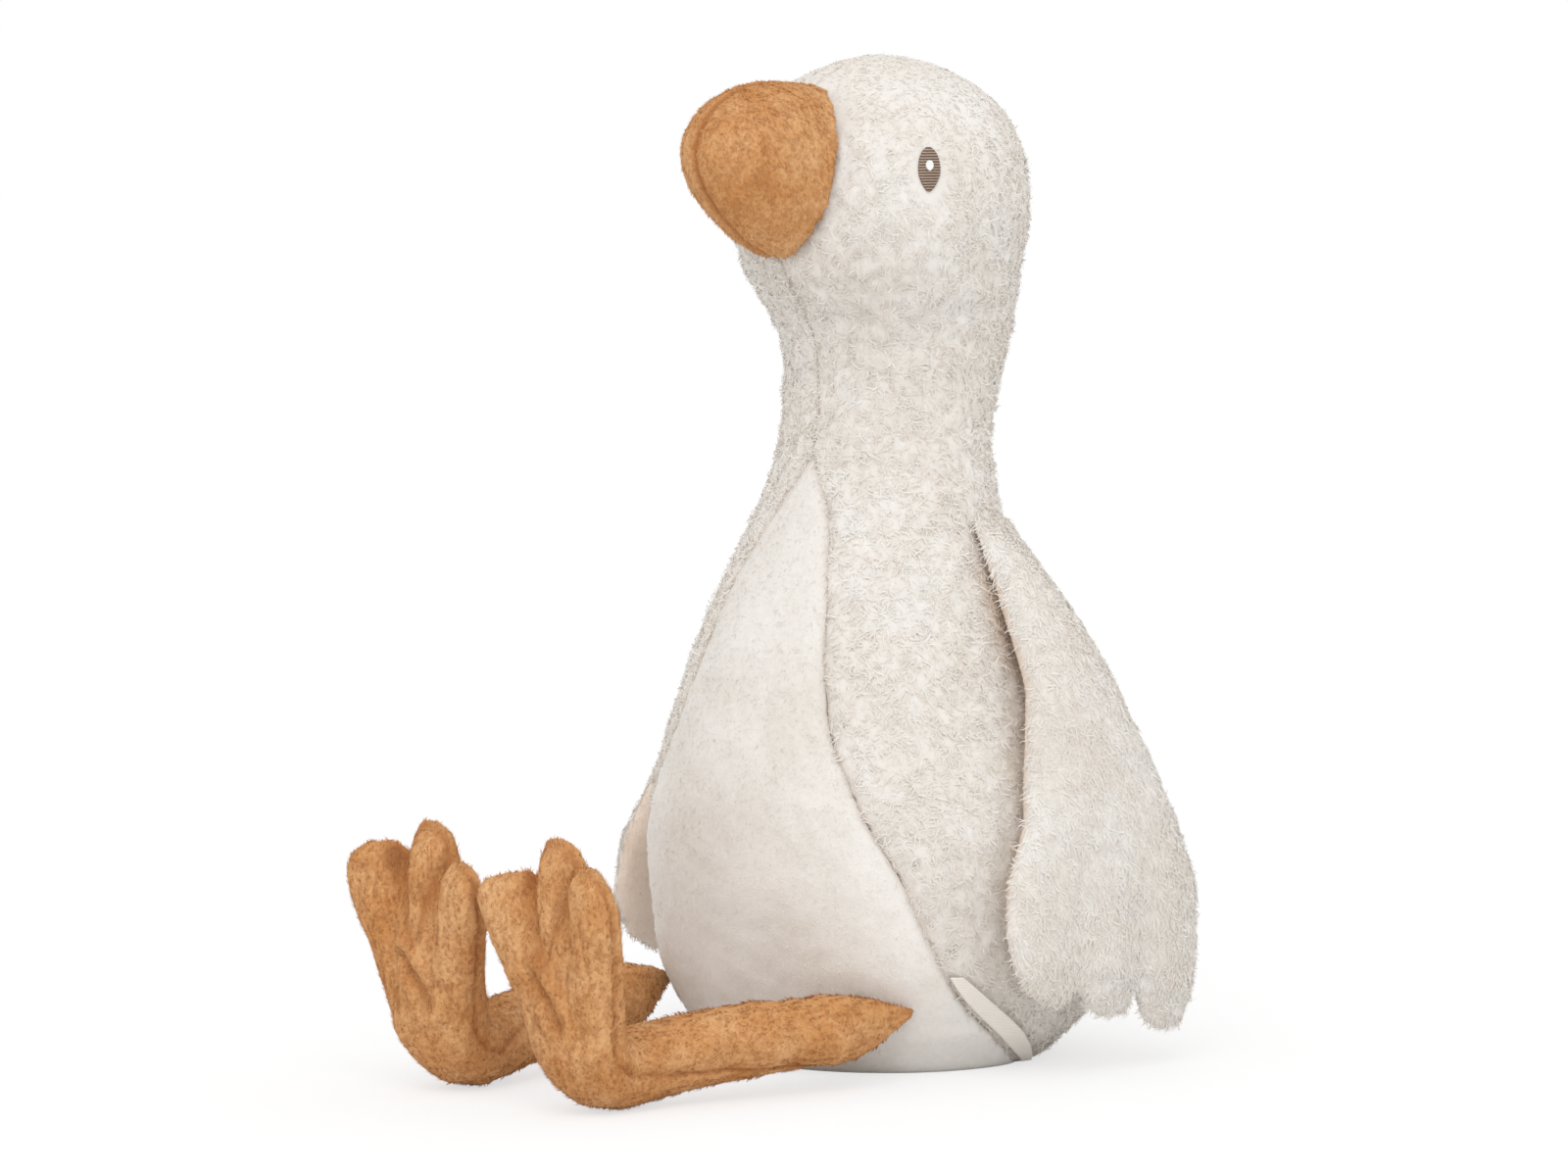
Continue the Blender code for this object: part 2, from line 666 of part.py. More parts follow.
def make_wing(label, side):
    # Curly cloth outside, smooth lining toward the body, scalloped along the lower edge.
    front = body_point(WING_ROOT_HEIGHT, math.radians(WING_ROOT_FRONT), -ROOT_CLEARANCE)
    back = body_point(WING_ROOT_HEIGHT, math.radians(WING_ROOT_BACK), -ROOT_CLEARANCE)
    middle_angle = math.radians((WING_ROOT_FRONT + WING_ROOT_BACK) / 2)
    bow = body_point(WING_ROOT_HEIGHT, middle_angle, -ROOT_CLEARANCE) - (front + back) / 2
    edges = [(front, back, 0.0)]
    for front_place, back_place, share in WING_ROWS:
        edges.append((beside_body(*front_place), beside_body(*back_place), share))
    stations = []
    for front_edge, back_edge, share in edges:
        across = back_edge - front_edge
        stations.append(((front_edge + back_edge) / 2, across.normalized(), across.length / 2,
                         WING_HALF_THICKNESS * share))
    wing = Limb(stations, WING_SPLITS, WING_SCALLOP, closing=WING_CLOSING, crease=WING_CREASE, bow=bow)
    shares = (0, 0.06, 0.2, 0.32, 0.44, 0.58, 0.72, 0.84, 0.94, 1)
    wing.make_panel(label + "_wing_outer_panel", CURLY_WHITE, shares, -1, SKIN * 0.8, side)
    wing.make_panel(label + "_wing_lining", PEACH_LINING, shares, 1, SKIN * 0.8, side)
    wing.make_filling(label + "_wing_filling", WADDING, shares[2:], SKIN * 0.8, side)


def leg_stations():
    # Pinched flat at the hip, round along the floor, turned up at the heel, wide at the toes.
    hip = body_point(HIP_HEIGHT, math.radians(HIP_ANGLE), -HIP_CLEARANCE)
    axis_height = LEG_RADIUS + LIMB_RIM + SEAM_GAP / 2
    heel = Vector((HEEL_X, HEEL_Y, axis_height))
    bend = heel + Vector((0, HEEL_BEND, 0))
    run = bend - hip
    level = run.normalized()
    down = Vector((0, 0, -1))
    sideways = Vector((1, 0, 0))
    lift = Vector((0, 0, LEG_ARCH / 2))
    turned = (down + sideways).normalized()
    arc = []
    for step in range(ARC_STEPS):
        angle = math.radians(90) * step / ARC_STEPS
        back = Vector((0, -math.sin(angle), 1 - math.cos(angle))) * HEEL_BEND
        widening = LEG_RADIUS * 1.2 + (ANKLE_HALF_WIDTH - LEG_RADIUS * 1.2) * step / ARC_STEPS
        arc.append((bend + back, sideways, widening, LEG_RADIUS))
    upright = heel + Vector((0, 0, HEEL_BEND))
    tip = Vector((HEEL_X - FOOT_INWARD, HEEL_Y - FOOT_LEAN, FOOT_HEIGHT))
    rise = tip - upright
    return (
        (hip, down, LEG_RADIUS * 0.45, 0),
        (hip + level * HIP_PINCH, down, LEG_RADIUS * 0.8, LEG_RADIUS * 0.36),
        (hip + run * 0.3 + lift * 0.5, down, LEG_RADIUS, LEG_RADIUS * 0.95),
        (hip + run * 0.6 + lift, turned, LEG_RADIUS, LEG_RADIUS),
        (hip + run * 0.85 + lift * 0.6, (turned + sideways).normalized(), LEG_RADIUS, LEG_RADIUS),
        *arc,
        (upright, sideways, ANKLE_HALF_WIDTH, LEG_RADIUS * 0.95),
        (upright + rise * 0.35, sideways, (ANKLE_HALF_WIDTH + TOES_HALF_WIDTH) / 2, FOOT_HALF_THICKNESS),
        (upright + rise * 0.68, sideways, TOES_HALF_WIDTH, FOOT_HALF_THICKNESS),
        (tip, sideways, TOES_HALF_WIDTH * 0.92, FOOT_HALF_THICKNESS),
    )


def make_leg(label, side):
    # Upper cloth over the leg and the top of the foot, under cloth below and on the sole.
    leg = Limb(leg_stations(), TOE_SPLITS, TOE_SCALLOP, closing=FOOT_CLOSING, crease=TOE_CREASE,
               setback=-MIDDLE_TOE_SETBACK, shorter=(INNER_TOE_SHORTER, OUTER_TOE_SHORTER))
    rows = (0, 1, 2, 2.8, 3.5, 4.2, 5, 6, 7, 8, 9, 9.7, 10.5, 11.2, 11.7, 12)
    shares = [row / (len(leg.stations) - 1) for row in rows]
    leg.make_panel(label + "_leg_upper_panel", OCHRE, shares, -1, VELOUR, side)
    leg.make_panel(label + "_leg_sole_panel", OCHRE, shares, 1, VELOUR, side)
    leg.make_filling(label + "_leg_filling", WADDING, shares[1:], VELOUR, side)


def make_label(name):
    # Narrow folded ribbon caught in the left belly seam, lying back on the side cloth.
    shell = Shell()
    rows = []
    for k in range(7):
        height = LABEL_BOTTOM + (LABEL_TOP - LABEL_BOTTOM) * k / 6
        radius = read_line(PROFILE, height)[1]
        row = []
        for share in (0.0, 0.5, 1.0):
            reach = LABEL_SETBACK + LABEL_WIDTH * share
            angle = seam_angle(height) + reach / radius
            under = seam_dip(reach) - SEAM_GAP
            row.append((body_point(height, angle, under - LABEL_THICKNESS),
                        body_point(height, angle, under)))
        rows.append(row)
    shell.add_grid(rows)
    return shell.make_cloth(name, RIBBON)


def main():
    for old in list(bpy.data.objects):
        bpy.data.objects.remove(old, do_unlink=True)
    make_belly_panel("belly_panel")
    make_body_filling("body_filling")
    make_beak_filling("beak_filling")
    for label, side in (("left", 1), ("right", -1)):
        make_side_panel(label + "_side_panel", side)
        make_beak_panel(label + "_beak_panel", side)
        make_eye(label, side)
        make_wing(label, side)
        make_leg(label, side)
    make_label("seam_label")


main()
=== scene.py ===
# Sitting plush goose: curly teddy pile on the sides, neck, head and wings, smooth plush on the
# belly, peach lining under the wings, ochre velour on the beak, legs and feet.
import math

import bmesh
import bpy
import numpy as np
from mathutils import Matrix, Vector, noise
from mathutils.bvhtree import BVHTree


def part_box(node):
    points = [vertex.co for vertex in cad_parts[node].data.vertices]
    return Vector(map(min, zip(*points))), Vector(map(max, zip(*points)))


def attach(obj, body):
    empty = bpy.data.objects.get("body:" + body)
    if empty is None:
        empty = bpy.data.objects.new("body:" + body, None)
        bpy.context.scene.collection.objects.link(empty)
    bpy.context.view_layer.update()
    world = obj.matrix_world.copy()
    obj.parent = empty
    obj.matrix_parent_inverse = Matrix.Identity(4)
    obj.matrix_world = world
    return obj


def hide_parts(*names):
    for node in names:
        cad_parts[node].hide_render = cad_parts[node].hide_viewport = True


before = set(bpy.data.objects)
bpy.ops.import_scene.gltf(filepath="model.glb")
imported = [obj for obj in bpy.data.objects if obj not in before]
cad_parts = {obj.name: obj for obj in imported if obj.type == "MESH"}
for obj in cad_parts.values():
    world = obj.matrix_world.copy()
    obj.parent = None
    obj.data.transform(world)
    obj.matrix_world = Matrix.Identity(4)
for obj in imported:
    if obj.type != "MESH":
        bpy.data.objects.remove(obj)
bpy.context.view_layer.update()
mm = 0.001


# Colours, nodes and meshes.
def hexColour(text):
    def linear(c):
        return c / 12.92 if c <= 0.04045 else ((c + 0.055) / 1.055) ** 2.4
    return tuple(linear(int(text[i:i + 2], 16) / 255) for i in (1, 3, 5)) + (1.0,)


def addNode(material, kind, settings=None, links=None):
    tree = material.node_tree
    node = tree.nodes.new(kind)
    for key, value in (settings or {}).items():
        if isinstance(key, int) or key in node.inputs:
            node.inputs[key].default_value = value
        else:
            setattr(node, key, value)
    for key, source in (links or {}).items():
        tree.links.new(source, node.inputs[key])
    return node


def ramp(node, stops):
    bar = node.color_ramp
    while len(bar.elements) < len(stops):
        bar.elements.new(0.5)
    for element, (place, colour) in zip(bar.elements, stops):
        element.position = place
        element.color = hexColour(colour)
    return node


clothFinish = {"roughness": 0.92, "specular": 0.15, "sheenRoughness": 0.45,   # matt, dry fibre
               "clothShare": 0.55}   # how far a hair is lit as the cloth under it is, and not as itself


def clothMaterial(name, values):
    # Pile or velour: three tones in soft patches, a painted-shade colour where its painted-shade attribute
    # says (seams, creases, hollows between tufts, under the wings), fine bump, sheen, and a little light
    # through each hair. Sizes of tufts, patches and grain are in mm.
    material = bpy.data.materials.new(name)
    material.use_nodes = True
    tree = material.node_tree
    shader = tree.nodes["Principled BSDF"]
    place = addNode(material, "ShaderNodeTexCoord").outputs["Object"]
    tufts = addNode(material, "ShaderNodeTexNoise",
                    {"Scale": 1 / (values["tuft"] * mm), "Detail": 3.0, "Roughness": 0.6}, {"Vector": place})
    patches = addNode(material, "ShaderNodeTexNoise",
                      {"Scale": 1 / (values["patch"] * mm), "Detail": 2.0}, {"Vector": place})
    both = addNode(material, "ShaderNodeMath", {"operation": "MULTIPLY_ADD", 1: values["tuftShare"]},
                   {0: tufts.outputs["Fac"], 2: patches.outputs["Fac"]})
    low = 0.5 + 0.5 * values["tuftShare"] - values["spread"]
    high = 0.5 + 0.5 * values["tuftShare"] + values["spread"]
    tone = addNode(material, "ShaderNodeMapRange", {1: low, 2: high}, {0: both.outputs[0]})
    colour = ramp(addNode(material, "ShaderNodeValToRGB", {}, {"Fac": tone.outputs[0]}),
                  ((0.0, values["dark"]), (0.55, values["colour"]), (1.0, values["light"])))
    seam = addNode(material, "ShaderNodeAttribute", {"attribute_name": "seam"})
    shade = addNode(material, "ShaderNodeMix",
                    {"data_type": "RGBA", "blend_type": "MIX", 7: hexColour(values["seam"])},
                    {0: seam.outputs["Fac"], 6: colour.outputs["Color"]})
    tree.links.new(shade.outputs[2], shader.inputs["Base Color"])
    fine = addNode(material, "ShaderNodeTexNoise",
                   {"Scale": 1 / (values["grain"] * mm), "Detail": 4.0, "Roughness": 0.7}, {"Vector": place})
    cloth = addNode(material, "ShaderNodeAttribute", {"attribute_name": "cloth"})
    turned = addNode(material, "ShaderNodeVectorTransform",
                     {"vector_type": "VECTOR", "convert_from": "OBJECT", "convert_to": "WORLD"},
                     {"Vector": cloth.outputs["Vector"]})
    own = addNode(material, "ShaderNodeNewGeometry").outputs["Normal"]
    blended = addNode(material, "ShaderNodeVectorMath",
                      {"operation": "MULTIPLY_ADD", 1: (clothFinish["clothShare"],) * 3},
                      {0: turned.outputs["Vector"], 2: own})
    facing = addNode(material, "ShaderNodeVectorMath", {"operation": "NORMALIZE"},
                     {0: blended.outputs["Vector"]})
    bump = addNode(material, "ShaderNodeBump", {"Strength": values["bump"], "Distance": values["grain"] * mm},
                   {"Height": fine.outputs["Fac"], "Normal": facing.outputs["Vector"]})
    tree.links.new(bump.outputs[0], shader.inputs["Normal"])
    shader.inputs["Roughness"].default_value = clothFinish["roughness"]
    shader.inputs["Specular IOR Level"].default_value = clothFinish["specular"]
    shader.inputs["Sheen Weight"].default_value = values["sheen"]
    shader.inputs["Sheen Roughness"].default_value = clothFinish["sheenRoughness"]
    shader.inputs["Sheen Tint"].default_value = hexColour(values["light"])
    through = addNode(material, "ShaderNodeBsdfTranslucent", {}, {"Color": shade.outputs[2]})
    surface = addNode(material, "ShaderNodeMixShader", {0: values["through"]},
                      {1: shader.outputs[0], 2: through.outputs[0]})
    tree.links.new(surface.outputs[0], tree.nodes["Material Output"].inputs["Surface"])
    return material


def meshFrom(name, points, faces, material, smooth=True):
    mesh = bpy.data.meshes.new(name)
    mesh.from_pydata([tuple(p) for p in points], [], faces)
    mesh.materials.append(material)
    if smooth:
        mesh.shade_smooth()
    piece = bpy.data.objects.new(name, mesh)
    bpy.context.scene.collection.objects.link(piece)
    return piece


def coordinates(mesh):
    flat = np.empty(len(mesh.vertices) * 3)
    mesh.vertices.foreach_get("co", flat)
    return flat.reshape(-1, 3)


def vertexNormals(mesh):
    flat = np.empty(len(mesh.vertices) * 3)
    mesh.vertex_normals.foreach_get("vector", flat)
    return flat.reshape(-1, 3)


def setCoordinates(mesh, points):
    mesh.vertices.foreach_set("co", np.ascontiguousarray(points, dtype=np.float64).ravel())
    mesh.update()


# Each vertex's share of the cloth's painted-shade colour: painted shade along seams, in creases, between tufts
# and under the wings.
def setPaintedShade(mesh, values):
    layer = mesh.attributes.new("seam", "FLOAT", "POINT")
    layer.data.foreach_set("value", np.ascontiguousarray(values, dtype=np.float32))


def unit(rows):
    return rows / np.maximum(np.linalg.norm(rows, axis=1, keepdims=True), 1e-12)


def roughen(points, normals, size, depth, seed):
    # Soft lumps of one size, in and out along the normals; the seed moves the pattern.
    shift = Vector((seed * 7.3, seed * 3.1, seed * 5.7))
    lumps = np.array([noise.noise(Vector(p) / size + shift) for p in points])
    return points + normals * (lumps * depth)[:, None]


def register(piece, nodes=()):
    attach(piece, "root")
    if nodes:
        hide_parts(*nodes)
    return piece


# Pile: thousands of small flat hairs on a cover, each one lying or curling over its root.
def scatter(mesh, count, rng):
    # Even random places on a mesh, with the smooth normal at each.
    mesh.calc_loop_triangles()
    corners = np.empty(len(mesh.loop_triangles) * 3, dtype=np.int32)
    mesh.loop_triangles.foreach_get("vertices", corners)
    corners = corners.reshape(-1, 3)
    places, normals = coordinates(mesh), vertexNormals(mesh)
    a, b, c = (places[corners[:, k]] for k in range(3))
    areas = np.linalg.norm(np.cross(b - a, c - a), axis=1)
    chosen = np.searchsorted(np.cumsum(areas) / areas.sum(), rng.random(count))
    chosen = np.minimum(chosen, len(corners) - 1)
    u, v = rng.random(count), rng.random(count)
    flip = u + v > 1
    u[flip], v[flip] = 1 - u[flip], 1 - v[flip]
    weights = np.stack([1 - u - v, u, v], axis=1)
    picked = corners[chosen]
    points = sum(places[picked[:, k]] * weights[:, k:k + 1] for k in range(3))
    outward = unit(sum(normals[picked[:, k]] * weights[:, k:k + 1] for k in range(3)))
    return points, outward


def tuftsAt(points, run, across, along, seed):
    # 0 between tufts and 1 on them; tufts are long where the pile is brushed one way.
    stretched = points - run * (np.sum(points * run, axis=1) * (1 - across / along))[:, None]
    shift = Vector((seed * 1.7, seed * 2.9, seed * 0.7))
    values = np.array([noise.noise(Vector(p) / (across * mm) + shift) for p in stretched])
    return np.clip(0.5 + 1.5 * values, 0, 1)


hair = {"shortest": 0.08, "lengths": (0.65, 1.25), "widths": (0.7, 1.2),   # shares of the pile's own
        "rootDepth": 0.3, "floorGap": 0.2, "tilt": 0.5}                    # mm, mm, share


def growPile(name, cover, material, values, lengthAt=None, combedAlong=None, shadeAt=None):
    # One mesh of tapered hairs. "rises" says how steeply each part of a hair climbs, "curl" how far it
    # turns in degrees, "stray" how far it leaves the combed way.
    rng = np.random.default_rng(values["seed"])
    points, outward = scatter(cover.data, values["count"], rng)
    share = lengthAt(points) if lengthAt else np.ones(len(points))
    kept = share > hair["shortest"]
    points, outward, share = points[kept], outward[kept], share[kept]
    count = len(points)
    run = unit(combedAlong(points)) if combedAlong else np.tile([[0.0, 0.0, 1.0]], (count, 1))
    tufts = tuftsAt(points, run, *values["tufts"], values["seed"])
    share = share * (1 - values["tuftDepth"] * (1 - tufts))
    lean = rng.normal(size=(count, 3))
    if combedAlong is not None:
        lean = combedAlong(points) + lean * values["stray"]
    along = unit(lean - outward * np.sum(lean * outward, axis=1)[:, None])
    aside = np.cross(outward, along)
    length = values["length"] * mm * share * rng.uniform(*hair["lengths"], count)
    turn = np.radians(values["curl"]) * rng.uniform(-1, 1, count)
    rises = values["rises"]
    steps = len(rises)
    place = points - outward * hair["rootDepth"] * mm
    rows, facings = [], []
    for k in range(steps + 1):
        angle = turn * k / steps
        heading = along * np.cos(angle)[:, None] + aside * np.sin(angle)[:, None]
        across = np.cross(heading, outward)
        facing = outward + heading * (k / steps - 0.5) * hair["tilt"]
        width = values["width"] * mm * (1 - (k / steps) ** 2) * 0.5 * rng.uniform(*hair["widths"], count)
        if k < steps:
            rows += [place - across * width[:, None], place + across * width[:, None]]
            facings += [facing, facing]
            rise = rises[k]
            way = heading * math.sqrt(max(0.05, 1 - rise * rise)) + outward * rise
            place = place + way * (length / steps)[:, None]
        else:
            rows.append(place)
            facings.append(facing)
    corners = 2 * steps + 1
    places = np.stack(rows, axis=1).reshape(-1, 3)
    places[:, 2] = np.maximum(places[:, 2], hair["floorGap"] * mm)
    first = np.arange(count)[:, None] * corners
    quads = np.concatenate([first + np.array([[2 * k, 2 * k + 1, 2 * k + 3, 2 * k + 2]])
                            for k in range(steps - 1)])
    tips = first + np.array([[2 * steps - 2, 2 * steps - 1, 2 * steps]])
    mesh = bpy.data.meshes.new(name)
    mesh.vertices.add(len(places))
    mesh.vertices.foreach_set("co", places.ravel())
    loops = np.concatenate([quads.ravel(), tips.ravel()]).astype(np.int32)
    mesh.loops.add(len(loops))
    mesh.loops.foreach_set("vertex_index", loops)
    mesh.polygons.add(len(quads) + len(tips))
    starts = np.concatenate([np.arange(len(quads)) * 4, len(quads) * 4 + np.arange(len(tips)) * 3])
    mesh.polygons.foreach_set("loop_start", starts.astype(np.int32))
    mesh.update(calc_edges=True)
    mesh.validate()
    mesh.shade_smooth()
    mesh.materials.append(material)
    # Painted shade: darker between tufts, and where shadeAt says.
    shades = (1 - tufts) * values["tuftShade"]
    if shadeAt is not None:
        shades = np.maximum(shades, shadeAt(points))
    setPaintedShade(mesh, np.repeat(shades, corners))
    layer = mesh.attributes.new("cloth", "FLOAT_VECTOR", "POINT")
    layer.data.foreach_set("vector", np.stack(facings, axis=1).astype(np.float32).ravel())
    pile = bpy.data.objects.new(name, mesh)
    bpy.context.scene.collection.objects.link(pile)
    return register(pile)


# Knitted teddy cloth of crimped polyester: matt, with a soft warm painted shade between its curls, along its
# seams and under the wings.
curlyPile = clothMaterial("curlyTeddyPile", {
    "colour": "#EDE9E3", "dark": "#E8E1D8", "light": "#F3F1ED", "seam": "#D2B395",
    "tuft": 2.4, "tuftShare": 0.8, "patch": 22.0, "spread": 0.4, "grain": 0.7, "bump": 0.3,
    "sheen": 0.15, "through": 0.15})
# Sheared short plush: even and matt, hardly a tuft to be seen.
smoothPlush = clothMaterial("smoothShortPlush", {
    "colour": "#EAE6E0", "dark": "#E0D9D0", "light": "#F1EEE9", "seam": "#CDBFB0",
    "tuft": 1.6, "tuftShare": 0.5, "patch": 30.0, "spread": 0.3, "grain": 0.6, "bump": 0.5,
    "sheen": 0.2, "through": 0.1})
# The same sheared plush, dyed a pale peach: warms the shade under the wings.
peachLining = clothMaterial("peachLining", {
    "colour": "#F2E3D5", "dark": "#EAD6C4", "light": "#F7ECE1", "seam": "#D9BFA6",
    "tuft": 1.6, "tuftShare": 0.5, "patch": 30.0, "spread": 0.3, "grain": 0.6, "bump": 0.3,
    "sheen": 0.25, "through": 0.15})
# Polyester velour with a short lying pile: soft sheen at the edges, streaky where it is brushed, with painted
# shade in its seams, creases and between the streaks.
ochreVelour = clothMaterial("ochreVelour", {
    "colour": "#D29C68", "dark": "#C1854E", "light": "#E0B280", "seam": "#A15E2C",
    "tuft": 1.2, "tuftShare": 1.0, "patch": 14.0, "spread": 0.3, "grain": 0.45, "bump": 0.5,
    "sheen": 0.35, "through": 0.1})
print("cloth materials")

# The body's form in mm and degrees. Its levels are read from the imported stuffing, its seams from the cloths.
bodyForm = {"inset": 4.5, "step": 2.0, "sideColumns": 110, "bellyColumns": 60,
            "seamDip": 1.1, "backDip": 0.8, "seamReach": 2.8, "tuck": 3.0,
            "seamShade": 0.35, "seamShadeReach": 1.3, "throatShare": 0.35,
            "beakDip": 1.6, "beakReach": 7.0, "flareHeight": 36.0, "flareAngle": 105.0,
            "throatEdge": 1.5, "baseInset": 0.3, "baseColumns": 60, "baseRings": (0.98, 0.8, 0.5, 0.2)}
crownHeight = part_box("left_side_panel")[1].z


def ringsOf(node):
    points = coordinates(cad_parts[node].data)
    rings = {}
    for point in points:
        rings.setdefault(round(point[2] * 1e5), []).append(point)
    return [np.array(rings[key]) for key in sorted(rings)]


def readBodyForm():
    # Height, half width, half depth and lean at each level: the stuffing's, carried out to the cloths.
    inset = bodyForm["inset"] * mm
    rows = []
    rings = ringsOf("body_filling")
    fullRing = max(len(ring) for ring in rings)
    for ring in rings:
        if len(ring) < 0.8 * fullRing and ring[0][2] < 15 * mm:
            continue   # the base's facets cut this level, it isn't a whole ring
        height = (ring[0][2] - inset) / (1 - 2 * inset / crownHeight)
        wide = ring[:, 0].max()
        front, back = ring[:, 1].min(), ring[:, 1].max()
        tip = wide < 1e-6
        rows.append((height, 0 if tip else wide + inset, 0 if tip else (back - front) / 2 + inset,
                     (front + back) / 2))
    return np.array(rows)


bodyRows = readBodyForm()
bodyRows[0, 0] = 0


def curveThrough(rows, place):
    # Catmull-Rom through rows of numbers; place counts rows and may be an array.
    place = np.clip(np.asarray(place, dtype=float), 0, len(rows) - 1 - 1e-9)
    k = place.astype(int)
    t = (place - k)[:, None]
    crown = rows[-2] * np.array([1, -1, -1, 1])
    chain = np.vstack([2 * rows[0] - rows[1], rows, crown])
    a, b, c, d = chain[k], chain[k + 1], chain[k + 2], chain[k + 3]
    bend, twist = 2 * a - 5 * b + 4 * c - d, 3 * b - a - 3 * c + d
    return 0.5 * (2 * b + (c - a) * t + bend * t ** 2 + twist * t ** 3)


fineRows = curveThrough(bodyRows, np.linspace(0, len(bodyRows) - 1, 600))
arcSteps = np.hypot(np.diff(fineRows[:, 0]), np.diff((fineRows[:, 1] + fineRows[:, 2]) / 2))
arcLength = np.concatenate([[0], np.cumsum(arcSteps)])


def bodyAt(height):
    # Half width, half depth and lean at a height.
    return [np.interp(height, fineRows[:, 0], fineRows[:, k]) for k in (1, 2, 3)]


def bodyPoint(height, angle, out=0.0):
    wide, deep, lean = bodyAt(height)
    return np.stack([(wide + out) * np.sin(angle), lean - (deep + out) * np.cos(angle),
                     height + 0 * angle], axis=-1)


def readSeam():
    # Half angle of the belly cloth at each height, where the left side cloth meets it.
    sideCloth, bellyCloth = (coordinates(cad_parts[n].data) for n in ("left_side_panel", "belly_panel"))
    gaps = np.array([np.linalg.norm(bellyCloth - point, axis=1).min() for point in sideCloth])
    edge = sideCloth[gaps < 0.7 * mm]   # where the two cloths meet
    wide, deep, lean = bodyAt(edge[:, 2])
    across, along = edge[:, 0] / wide, (lean - edge[:, 1]) / deep
    outer = ((1 - np.hypot(across, along)) * wide < 2.2 * mm) & (edge[:, 2] > 1 * mm)   # the outer face
    rows = np.stack([edge[outer, 2], np.arctan2(across, along)[outer]], axis=1)
    rows = rows[np.argsort(rows[:, 0])]
    heights = np.arange(0, rows[-1, 0], 1 * mm)
    angles = np.interp(heights, rows[:, 0], rows[:, 1])
    window = np.ones(9) / 9
    eased = np.convolve(np.pad(angles, 4, mode="edge"), window, mode="valid")
    return np.stack([heights, eased], axis=1)


seamRows = readSeam()
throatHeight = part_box("belly_panel")[1].z
print("body form read:", len(bodyRows), "levels, throat at", round(throatHeight, 3))


def seamAngle(height):
    angle = np.interp(height, seamRows[:, 0], seamRows[:, 1])
    low = np.clip(1 - np.asarray(height) / (bodyForm["flareHeight"] * mm), 0, 1)
    angle = angle + (math.radians(bodyForm["flareAngle"]) - seamRows[0, 1]) * low ** 3
    return np.where(height >= throatHeight, 0.0, np.maximum(angle, 0.0))


def gridFaces(rowCount, columnCount, turned=False):
    faces = []
    for r in range(rowCount - 1):
        for c in range(columnCount - 1):
            k = r * columnCount + c
            face = (k, k + 1, k + columnCount + 1, k + columnCount)
            faces.append(face[::-1] if turned else face)
    return faces


def rowHeights():
    # Heights that lie an even step apart along the body's outline.
    count = int(arcLength[-1] / (bodyForm["step"] * mm))
    places = np.linspace(0, arcLength[-1] * 0.9985, count)   # stops just short of the crown's pole
    return np.interp(places, arcLength, fineRows[:, 0])


def bodyCover(name, side, material):
    # Grid from seam to seam; side 0 is the belly, 1 and -1 are the goose's left and right.
    heights = rowHeights()
    if side == 0:
        heights = heights[heights < throatHeight + bodyForm["throatEdge"] * mm]
    columns = bodyForm["bellyColumns"] if side == 0 else bodyForm["sideColumns"]
    points, seams = [], []
    for height in heights:
        wide, deep = bodyAt(height)[:2]
        edge = float(seamAngle(height))
        if side == 0:
            edge = max(edge, bodyForm["throatEdge"] * mm / wide)
        start, end = (-edge, edge) if side == 0 else (edge, math.pi)
        angles = np.linspace(start, end, columns)
        radius = max((wide + deep) / 2, 1 * mm)
        front = np.minimum(angles - start, end - angles) * radius if side == 0 else (angles - start) * radius
        back = np.full(columns, 1.0) if side == 0 else (end - angles) * radius
        reach = bodyForm["seamReach"] * mm
        dip = bodyForm["seamDip"] * np.exp(-(front / reach) ** 2) \
            + bodyForm["backDip"] * np.exp(-(back / reach) ** 2)
        shown = 1 if height < throatHeight else bodyForm["throatShare"]
        dip = dip * shown
        ring = bodyPoint(height, angles, 0.0)
        inward = np.stack([np.sin(angles), -np.cos(angles), 0 * angles], axis=-1)
        ring = ring - inward * (dip * mm)[:, None]
        tucked = ring - inward * bodyForm["tuck"] * mm
        ring = np.concatenate([tucked[:1], ring, tucked[-1:]])
        if side == -1:
            ring[:, 0] *= -1
        points.append(ring)
        # Painted shade along the seams, fading away from them.
        shade = np.exp(-(np.minimum(front, back) / (bodyForm["seamShadeReach"] * mm)) ** 2)
        seams.append(bodyForm["seamShade"] * shown * np.concatenate([[1], shade, [1]]))
    points = np.concatenate(points)
    seams = np.concatenate(seams)
    width = columns + 2
    piece = meshFrom(name, points, gridFaces(len(heights), width, turned=side == -1), material)
    mesh = piece.data
    if side == 0:
        addBase(mesh, width)
    setPaintedShade(mesh, np.concatenate([seams, np.zeros(len(mesh.vertices) - len(seams))]))
    return piece


def addBase(mesh, width):
    # The belly cloth runs on under the body as a flat round base.
    builder = bmesh.new()
    builder.from_mesh(mesh)
    builder.verts.ensure_lookup_table()
    rim = [builder.verts[k] for k in range(1, width - 1)]
    edge = float(seamAngle(0.0))
    for angle in np.linspace(edge, 2 * math.pi - edge, bodyForm["baseColumns"])[1:-1]:
        place = bodyPoint(np.float64(0.0), np.float64(angle), -bodyForm["baseInset"] * mm)
        rim.append(builder.verts.new(place))
    ring = rim
    for share in bodyForm["baseRings"]:
        inner = [builder.verts.new((v.co.x * share, v.co.y * share, 0.0)) for v in rim]
        for k in range(len(ring)):
            nextK = (k + 1) % len(ring)
            builder.faces.new((ring[nextK], ring[k], inner[k], inner[nextK]))
        ring = inner
    builder.faces.new(list(reversed(ring)))
    builder.to_mesh(mesh)
    builder.free()
    mesh.shade_smooth()


